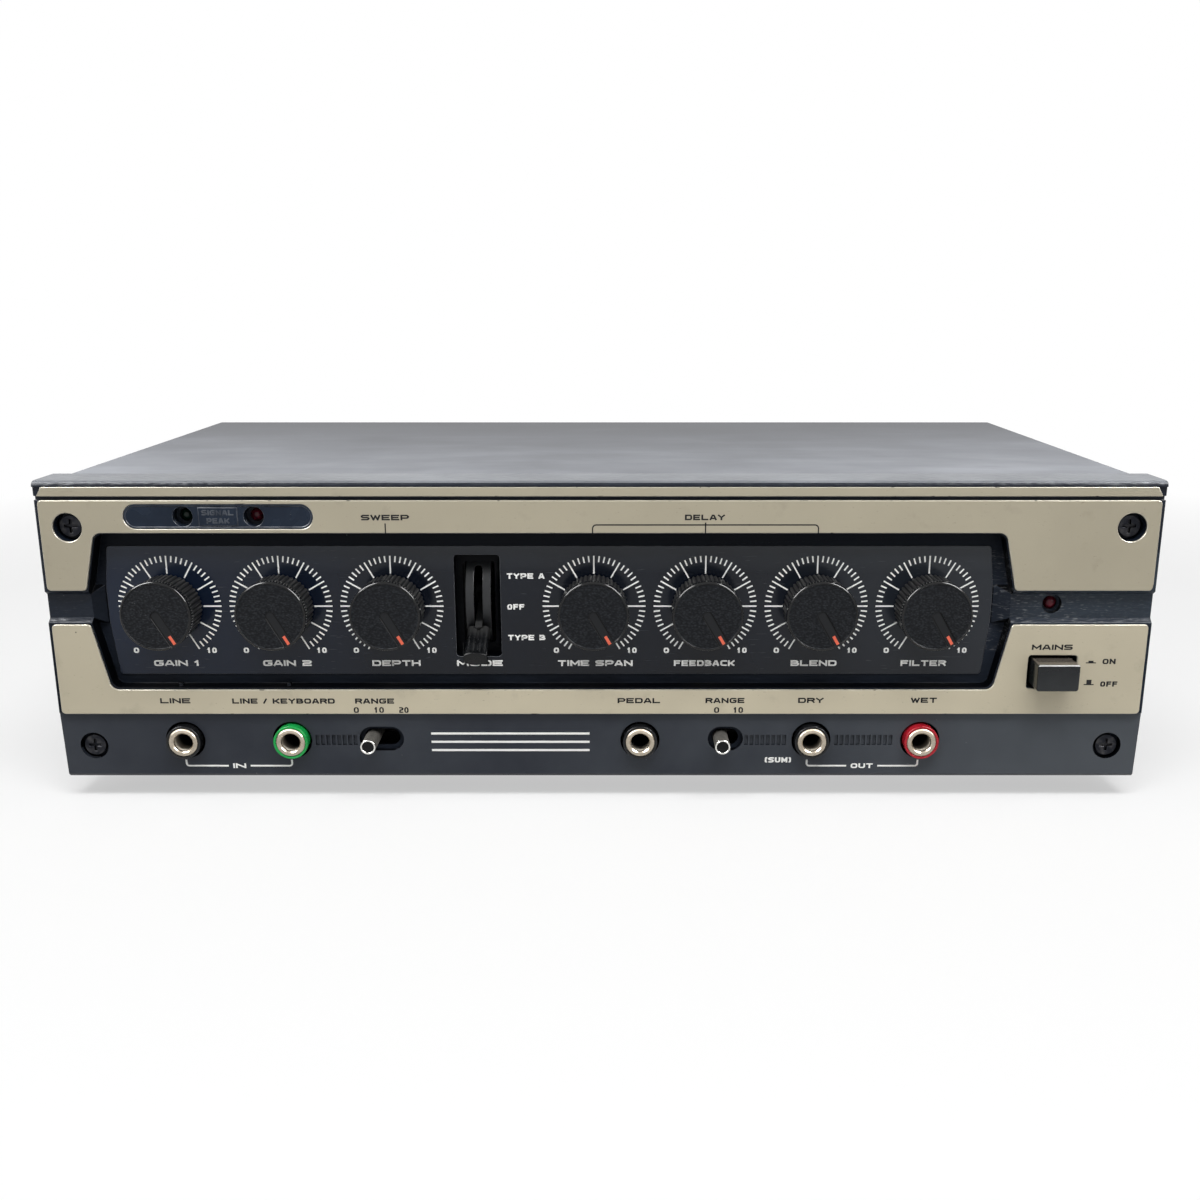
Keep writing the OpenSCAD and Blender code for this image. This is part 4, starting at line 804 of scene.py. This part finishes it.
def closedMesh(name, work, finish):
    bmesh.ops.remove_doubles(work, verts=work.verts, dist=mergeGap["print"])
    bmesh.ops.recalc_face_normals(work, faces=work.faces)
    mesh = bpy.data.meshes.new(name)
    work.to_mesh(mesh)
    work.free()
    mesh.materials.append(finish.material)
    return mesh


# Square, wide letters as strokes: each pair is x and z on an 8 by 8 grid, r rounds a corner
glyphs = {
    "A": "00 38 58 80|12 72", "B": "00 08 78r 74r 04|64 84r 80r 00", "C": "88 08r 00r 80",
    "D": "40 00 08 88r 80r 40", "E": "80 00 08 88|04 74", "F": "00 08 88|04 74", "G": "88 08r 00r 80r 84 54",
    "H": "00 08|80 88|04 84", "I": "00 08", "K": "00 08|04 34 88|34 80", "L": "08 00 80", "M": "00 08 42 88 80",
    "N": "00 08 80 88", "O": "40 00r 08r 88r 80r 40", "P": "00 08 88r 83r 03", "R": "00 08 88r 84r 04|54 80",
    "S": "88 08r 04r 84r 80r 00", "T": "08 88|40 48", "U": "08 00r 80r 88", "W": "08 20 47 60 88",
    "Y": "08 44 88|44 40", "0": "40 00r 08r 88r 80r 40", "1": "06 38 30", "2": "08 88r 84r 04r 00 80",
    "/": "00 88", "(": "88 08r 00r 80", ")": "08 88r 80r 00"}
glyphWidth = {"I": 0.0, "1": 0.75, "/": 0.45, "(": 0.22, ")": 0.22, " ": 0.35, "M": 1.15, "W": 1.25}
glyphGrid = 8
letterGap = 1.9  # between the middles of two strokes, in stroke widths
letterTurn = 0.3  # radius of a rounded corner, as a share of the height
uprights = 1.25  # how much wider an upright stroke is than a level one
prouder = 0.2  # how much thicker each next stroke of a letter is, so that no two faces coincide
sharpestMitre = 0.62


def strokePath(tokens, left, foot, wide, tall, turn):
    spots = [(left + int(t[0]) / glyphGrid * wide, foot + int(t[1]) / glyphGrid * tall) for t in tokens]
    path = []
    for i, token in enumerate(tokens):
        if not token.endswith("r"):
            path.append(spots[i])
            continue
        here = Vector(spots[i])
        before, after = Vector(spots[i - 1]) - here, Vector(spots[i + 1]) - here
        start = here + before.normalized() * min(turn, before.length * 0.5)
        end = here + after.normalized() * min(turn, after.length * 0.5)
        path += [tuple(start.lerp(here, t).lerp(here.lerp(end, t), t)) for t in (0, 0.25, 0.5, 0.75, 1)]
    return path


def unfolded(path):  # a stroke is cut where it turns back
    spots = [Vector(spot) for spot in path]
    folds = [i for i in range(1, len(path) - 1)
             if (spots[i] - spots[i - 1]).dot(spots[i + 1] - spots[i]) < -1e-6]
    ends = [0, *folds, len(path) - 1]
    return [path[first:last + 1] for first, last in zip(ends, ends[1:])]


def lettered(work, words, x, z, height, width, surface, stroke=0.25, align="CENTER", thickness=inkThickness):
    shares = [glyphWidth.get(letter, 1.0) for letter in words]
    line = stroke * height
    gap = letterGap * line
    unit = (width - line - gap * (len(words) - 1)) / sum(shares)
    left = x - (width - line) / 2 if align == "CENTER" else x + line / 2
    tall = height - line
    for letter, share in zip(words, shares):
        strokes = [tokens.split() for tokens in glyphs.get(letter, "").split("|") if tokens]
        paths = [strokePath(tokens, left, z - tall / 2, share * unit, tall, letterTurn * height)
                 for tokens in strokes]
        for i, path in enumerate(part for path in paths for part in unfolded(path)):
            ruled(work, path, line, surface, thickness * (1 + prouder * i), uprights, line / 2)
        left += share * unit + gap


def ruled(work, points, width, surface, thickness=inkThickness, wider=1.0, cap=0.0):  # along (x, z) points
    closed = points[0] == points[-1]
    points = [Vector(point) for point in points[:-1 if closed else None]]
    if not closed:
        points[0] = points[0] + (points[0] - points[1]).normalized() * cap
        points[-1] = points[-1] + (points[-1] - points[-2]).normalized() * cap
    loops = []
    for i, here in enumerate(points):
        before = here - points[i - 1] if i or closed else None
        after = points[(i + 1) % len(points)] - here if closed or i < len(points) - 1 else None
        ahead = ((before or after).normalized() + (after or before).normalized()).normalized()
        reach = width / 2 / max(sharpestMitre, ahead.dot((after or before).normalized()))
        side = Vector((-ahead.y * wider, ahead.x)) * reach
        loops.append([work.verts.new(front(spot.x, surface(spot.y) + lift * thickness, spot.y))
                      for spot in (here + side, here - side) for lift in (-0.5, 0.5)])
    for a, b in zip(loops, loops[1:] + loops[:1] if closed else loops[1:]):
        for i, j in ((0, 1), (1, 3), (3, 2), (2, 0)):
            work.faces.new((a[i], a[j], b[j], b[i]))
    if not closed:
        for end in (loops[0], loops[-1]):
            work.faces.new((end[0], end[1], end[3], end[2]))


def quarterTurn(x, z, radius, start, steps=4):  # about a centre, from a start angle in degrees
    angles = [math.radians(start + 90 * i / steps) for i in range(steps + 1)]
    return [(x + radius * math.cos(a), z + radius * math.sin(a)) for a in angles]


dialWords = {"height": 2.05, "z": 40.5, "words": [
    ("GAIN 1", -144.5, 16.3), ("GAIN 2", -107.1, 16.5), ("DEPTH", -69.8, 16.4), ("MODE", -41.2, 15.6),
    ("TIME SPAN", -1.8, 25.5), ("FEEDBACK", 35.5, 20.7), ("BLEND", 72.9, 15.6), ("FILTER", 110.4, 15.4)]}
dialEnds = {"height": 1.85, "z": 45.1, "out": 12.9, "widths": {"0": 1.7, "10": 3.1}}
selectorWords = {"height": 1.9, "x": -31.4, "words": [
    ("TYPE A", 71.1, 12.6), ("OFF", 60.4, 5.7), ("TYPE B", 49.6, 12.6)]}


def dialPrint():
    work = bmesh.new()
    for words, x, width in dialWords["words"]:
        lettered(work, words, x, dialWords["z"], dialWords["height"], width, onDialPlate)
    for x in dialXs:
        for side, words in ((-1, "0"), (1, "10")):
            lettered(work, words, x + side * dialEnds["out"], dialEnds["z"], dialEnds["height"],
                     dialEnds["widths"][words], onDialPlate)
    for words, z, width in selectorWords["words"]:
        lettered(work, words, selectorWords["x"], z, selectorWords["height"], width, onDialPlate, align="LEFT")
    return closedMesh("dial_print", work, whiteInk)


trimWords = {"height": 1.85, "stroke": 0.26, "words": [
    ("SWEEP", -70.3, 92.05, 15.6), ("DELAY", 34.4, 92.1, 13.0), ("LINE", -144.6, 28.8, 10.2),
    ("LINE / KEYBOARD", -107.8, 28.7, 34.8), ("RANGE", -76.8, 28.7, 13.2), ("PEDAL", 13.1, 28.85, 14.4),
    ("RANGE", 42.4, 28.9, 13.2), ("DRY", 71.6, 28.95, 8.6), ("WET", 110.0, 29.0, 8.8),
    ("MAINS", 152.0, 47.8, 13.6), ("ON", 171.6, 42.8, 4.3), ("OFF", 172.3, 34.8, 5.7)]}
rangeMarks = {"height": 2.0, "stroke": 0.21, "digit": 1.45, "ends": 0.2, "z": 25.5,
              "marks": (("0", -83.2), ("10", -75.4), ("20", -67.0), ("0", 39.6), ("10", 47.0))}
bracket = {"left": -2.4, "right": 71.7, "top": 89.6, "foot": 86.7, "radius": 1.2, "line": 0.44,
           "leaders": ((34.66, 0.8), (-70.35, 0.5))}  # each at x, rising this far above the bracket
switchSigns = {"x": 165.5, "rows": ((42.3, 0.75), (34.6, 1.7)), "foot": 3.4, "box": 1.7, "lift": 0.1, "line": 0.36}


def trimPrint():
    work = bmesh.new()
    for words, x, z, width in trimWords["words"]:
        lettered(work, words, x, z, trimWords["height"], width, onTrim, trimWords["stroke"])
    m = rangeMarks
    for mark, x in m["marks"]:
        lettered(work, mark, x, m["z"], m["height"], m["digit"] * len(mark) + m["ends"], onTrim, m["stroke"])
    b, r, line = bracket, bracket["radius"], bracket["line"]
    rightTurn = quarterTurn(b["right"] - r, b["top"] - r, r, 0)[::-1]
    leftTurn = quarterTurn(b["left"] + r, b["top"] - r, r, 90)[::-1]
    ruled(work, [(b["left"], b["foot"]), *leftTurn, *rightTurn, (b["right"], b["foot"])], line, onTrim)
    for x, rise in b["leaders"]:
        ruled(work, [(x, b["top"] + rise), (x, b["foot"])], line, onTrim)
    s = switchSigns
    for z, tall in s["rows"]:
        ruled(work, [(s["x"] - s["foot"] / 2, z), (s["x"] + s["foot"] / 2, z)], s["line"], onTrim)
        ruled(work, [(s["x"], z + s["lift"]), (s["x"], z + tall)], s["box"], onTrim)
    return closedMesh("trim_print", work, blackInk)


jackBrackets = {"z": 4.2, "top": 6.5, "line": 0.62, "radius": 0.9, "height": 1.8, "stroke": 0.27, "gap": 1.6,
                "groups": (("IN", -143.6, -107.0, 4.4), ("OUT", 71.4, 109.8, 7.6))}
sumWord = {"words": "(SUM)", "x": 61.4, "z": 6.4, "height": 2.0, "width": 9.0}
stripes = {"left": -58.3, "right": -3.8, "zs": (16.3, 13.2, 10.1), "line": 0.8}


def panelPrint():
    work = bmesh.new()
    j = jackBrackets
    for words, left, right, width in j["groups"]:
        middle, r = (left + right) / 2, j["radius"]
        lettered(work, words, middle, j["z"], j["height"], width, onJackPanel, j["stroke"])
        gap = width / 2 + j["gap"]
        leftTurn = quarterTurn(left + r, j["z"] + r, r, 180)
        rightTurn = quarterTurn(right - r, j["z"] + r, r, 270)
        ruled(work, [(left, j["top"]), *leftTurn, (middle - gap, j["z"])], j["line"], onJackPanel)
        ruled(work, [(middle + gap, j["z"]), *rightTurn, (right, j["top"])], j["line"], onJackPanel)
    s = sumWord
    lettered(work, s["words"], s["x"], s["z"], s["height"], s["width"], onJackPanel)
    for z in stripes["zs"]:
        ruled(work, [(stripes["left"], z), (stripes["right"], z)], stripes["line"], onJackPanel)
    return closedMesh("panel_print", work, whiteInk)


windowWords = {"x": -125.0, "face": 0.05, "height": 1.75, "stroke": 0.22, "relief": 0.26,
               "rows": (("SIGNAL", 93.65, 10.4), ("PEAK", 90.95, 7.4))}


def onWindowBlock(z):
    return windowWords["face"]


def windowEmboss():
    work = bmesh.new()
    w = windowWords
    for words, z, width in w["rows"]:
        lettered(work, words, w["x"], z, w["height"], width, onWindowBlock, w["stroke"], thickness=w["relief"])
    return closedMesh("window_words", work, paintedWindowHighlight)


newPiece("window_words", windowEmboss(), "case")
newPiece("dial_print", dialPrint(), "case")
newPiece("trim_print", trimPrint(), "case")
newPiece("panel_print", panelPrint(), "case")
print("printed marks made")


def pointer(index):
    p = pointerLine
    work = bmesh.new()
    middle = (p["inner"] + p["outer"]) / 2
    size = Matrix.Diagonal((p["width"], p["height"], p["outer"] - p["inner"], 1))
    bmesh.ops.create_cube(work, size=1.0, matrix=size)
    bmesh.ops.bevel(work, geom=work.edges[:], offset=p["soft"], segments=2, profile=0.5, affect="EDGES")
    turn = Matrix.Rotation(math.radians(p["turn"]), 4, "Y")
    floor = knobFront + p["floor"]
    for v in work.verts:
        spot = turn @ (v.co + Vector((0, 0, middle)))
        v.co = front(dialXs[index] + spot.x, floor + spot.y, dialZ + spot.z)
    return closedMesh(f"pointer_{index + 1}", work, pointerInk)


for index in range(len(dialXs)):
    newPiece(f"pointer_line_{index + 1}", pointer(index), f"dial_{index + 1}")
print("pointer lines made")

rodPlug = {"inset": 0.25, "thickness": 0.5, "radius": 1.97, "taper": 0.93, "sides": 32}


def plugIn(node):  # dark plug in the open end of a slide's rod: painted shade for the rod's hollow
    low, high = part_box(node)
    middle, level = (low.x + high.x) / 2 / mm, (low.z + high.z) / 2 / mm - bezelFoot / mm
    face = (low.y - plateFace) / mm
    p = rodPlug
    work = bmesh.new()
    bmesh.ops.create_cone(work, cap_ends=True, segments=p["sides"], radius1=p["radius"],
                          radius2=p["radius"] * p["taper"], depth=p["thickness"])
    for v in work.verts:
        v.co = front(middle + v.co.x, face + p["inset"] + p["thickness"] / 2 - v.co.z, level + v.co.y)
    return closedMesh(node + "_plug", work, rodShadePlug)


for node in ("input_level_lever", "output_level_lever"):
    newPiece(node + "_plug", plugIn(node), bodyOf[node])
print("rod plugs made")

# Photograph's view: focal length and principal point in pixels of a 1200 px square, place in front coordinates
view = {"frame": 1200, "focal": 1211.2, "middle": 615.1, "pitch": 14.45, "place": (5.0, -390.4, 164.8),
        "sensor": 36.0, "nearest": 0.01}
camera = bpy.data.cameras.new("photo view")
camera.sensor_width = view["sensor"]
camera.lens = camera.sensor_width * view["focal"] / view["frame"]
camera.shift_x = (view["frame"] / 2 - view["middle"]) / view["frame"]
camera.clip_start = view["nearest"]
eye = linked(bpy.data.objects.new("photo view", camera))
eye.location = front(*view["place"])
eye.rotation_euler = (math.radians(90 - view["pitch"]), 0, 0)
bpy.context.scene.camera = eye

studio = {"floor": 6.0, "floorTones": ((0.42, 0.42, 0.42), (0.86, 0.86, 0.86)), "floorGlow": 0.5,
          "clear": (0.42, 0.75), "world": 0.28, "aim": (0, 0, 0.05),
          "lamps": (("key softbox", 23.0, (1.5, 0.42), (0.04, -0.72, 1.4)),
                    ("side window", 3.2, (0.9, 0.9), (-1.5, -0.9, 0.7))),
          "glints": (("left glint", 70.0, (0.45, 1.1), (-1.1, -0.6, 1.15)),
                     ("right glint", 70.0, (0.45, 1.1), (1.1, -0.6, 1.15)),
                     ("middle glint", 4.0, (0.4, 0.3), (0.04, -0.72, 1.4)))}


def lamp(name, power, size, place, glint=False):
    light = bpy.data.lights.new(name, "AREA")
    light.shape = "RECTANGLE"
    light.energy = power
    light.size, light.size_y = size
    thing = linked(bpy.data.objects.new(name, light))
    thing.location = place
    thing.rotation_euler = (Vector(studio["aim"]) - Vector(place)).to_track_quat("-Z", "Y").to_euler()
    thing.visible_diffuse, thing.visible_glossy = not glint, glint  # glints only show in reflections


def anyOf(graph, path, names):  # 1 where any of these rays looks
    seen = path.out(names[0])
    for name in names[1:]:
        seen = graph.add("ShaderNodeMath", {"operation": "MAXIMUM"}, {0: seen, 1: path.out(name)})
    return seen


shownRays = ("Is Camera Ray", "Is Glossy Ray", "Is Transmission Ray")


def paleFloor():
    half = studio["floor"] / 2
    mesh = bpy.data.meshes.new("floor")
    corners = [(-half, -half, 0), (half, -half, 0), (half, half, 0), (-half, half, 0)]
    mesh.from_pydata(corners, [], [(0, 1, 2, 3)])
    surface = Finish("pale floor", Roughness=0.9, Specular_IOR_Level=0.1)
    seen = anyOf(surface, surface.add("ShaderNodeLightPath"), shownRays)
    reach = surface.add("ShaderNodeVectorMath", {"operation": "LENGTH"}, {0: surface.place}, out="Value")
    far = surface.between(reach, *studio["clear"])
    surface.set(Base_Color=surface.mix(seen, *studio["floorTones"]))
    glow = surface.add("ShaderNodeEmission", sockets={"Color": (1.0, 1.0, 1.0), "Strength": 1.0})
    mixed = surface.add("ShaderNodeMixShader", sockets={
        0: seen * (studio["floorGlow"] + far * (1 - studio["floorGlow"])),
        1: Wire(surface, surface.shader.outputs[0]), 2: glow})
    surface.plug(surface.tree.nodes["Material Output"].inputs["Surface"], mixed)
    mesh.materials.append(surface.material)
    linked(bpy.data.objects.new("floor", mesh))


def paleWorld():
    world = bpy.data.worlds.new("studio")
    bpy.context.scene.world = world
    world.use_nodes = True
    sky = Graph(world.node_tree)
    shown = anyOf(sky, sky.add("ShaderNodeLightPath"), shownRays)
    background = world.node_tree.nodes["Background"]
    sky.plug(background.inputs["Strength"], studio["world"] + shown * (1 - studio["world"]))
    sky.plug(background.inputs["Color"], (1.0, 1.0, 1.0))


paleFloor()
paleWorld()
for settings in studio["lamps"]:
    lamp(*settings)
for settings in studio["glints"]:
    lamp(*settings, glint=True)
bpy.context.scene.view_settings.view_transform = "Standard"
print("studio set")
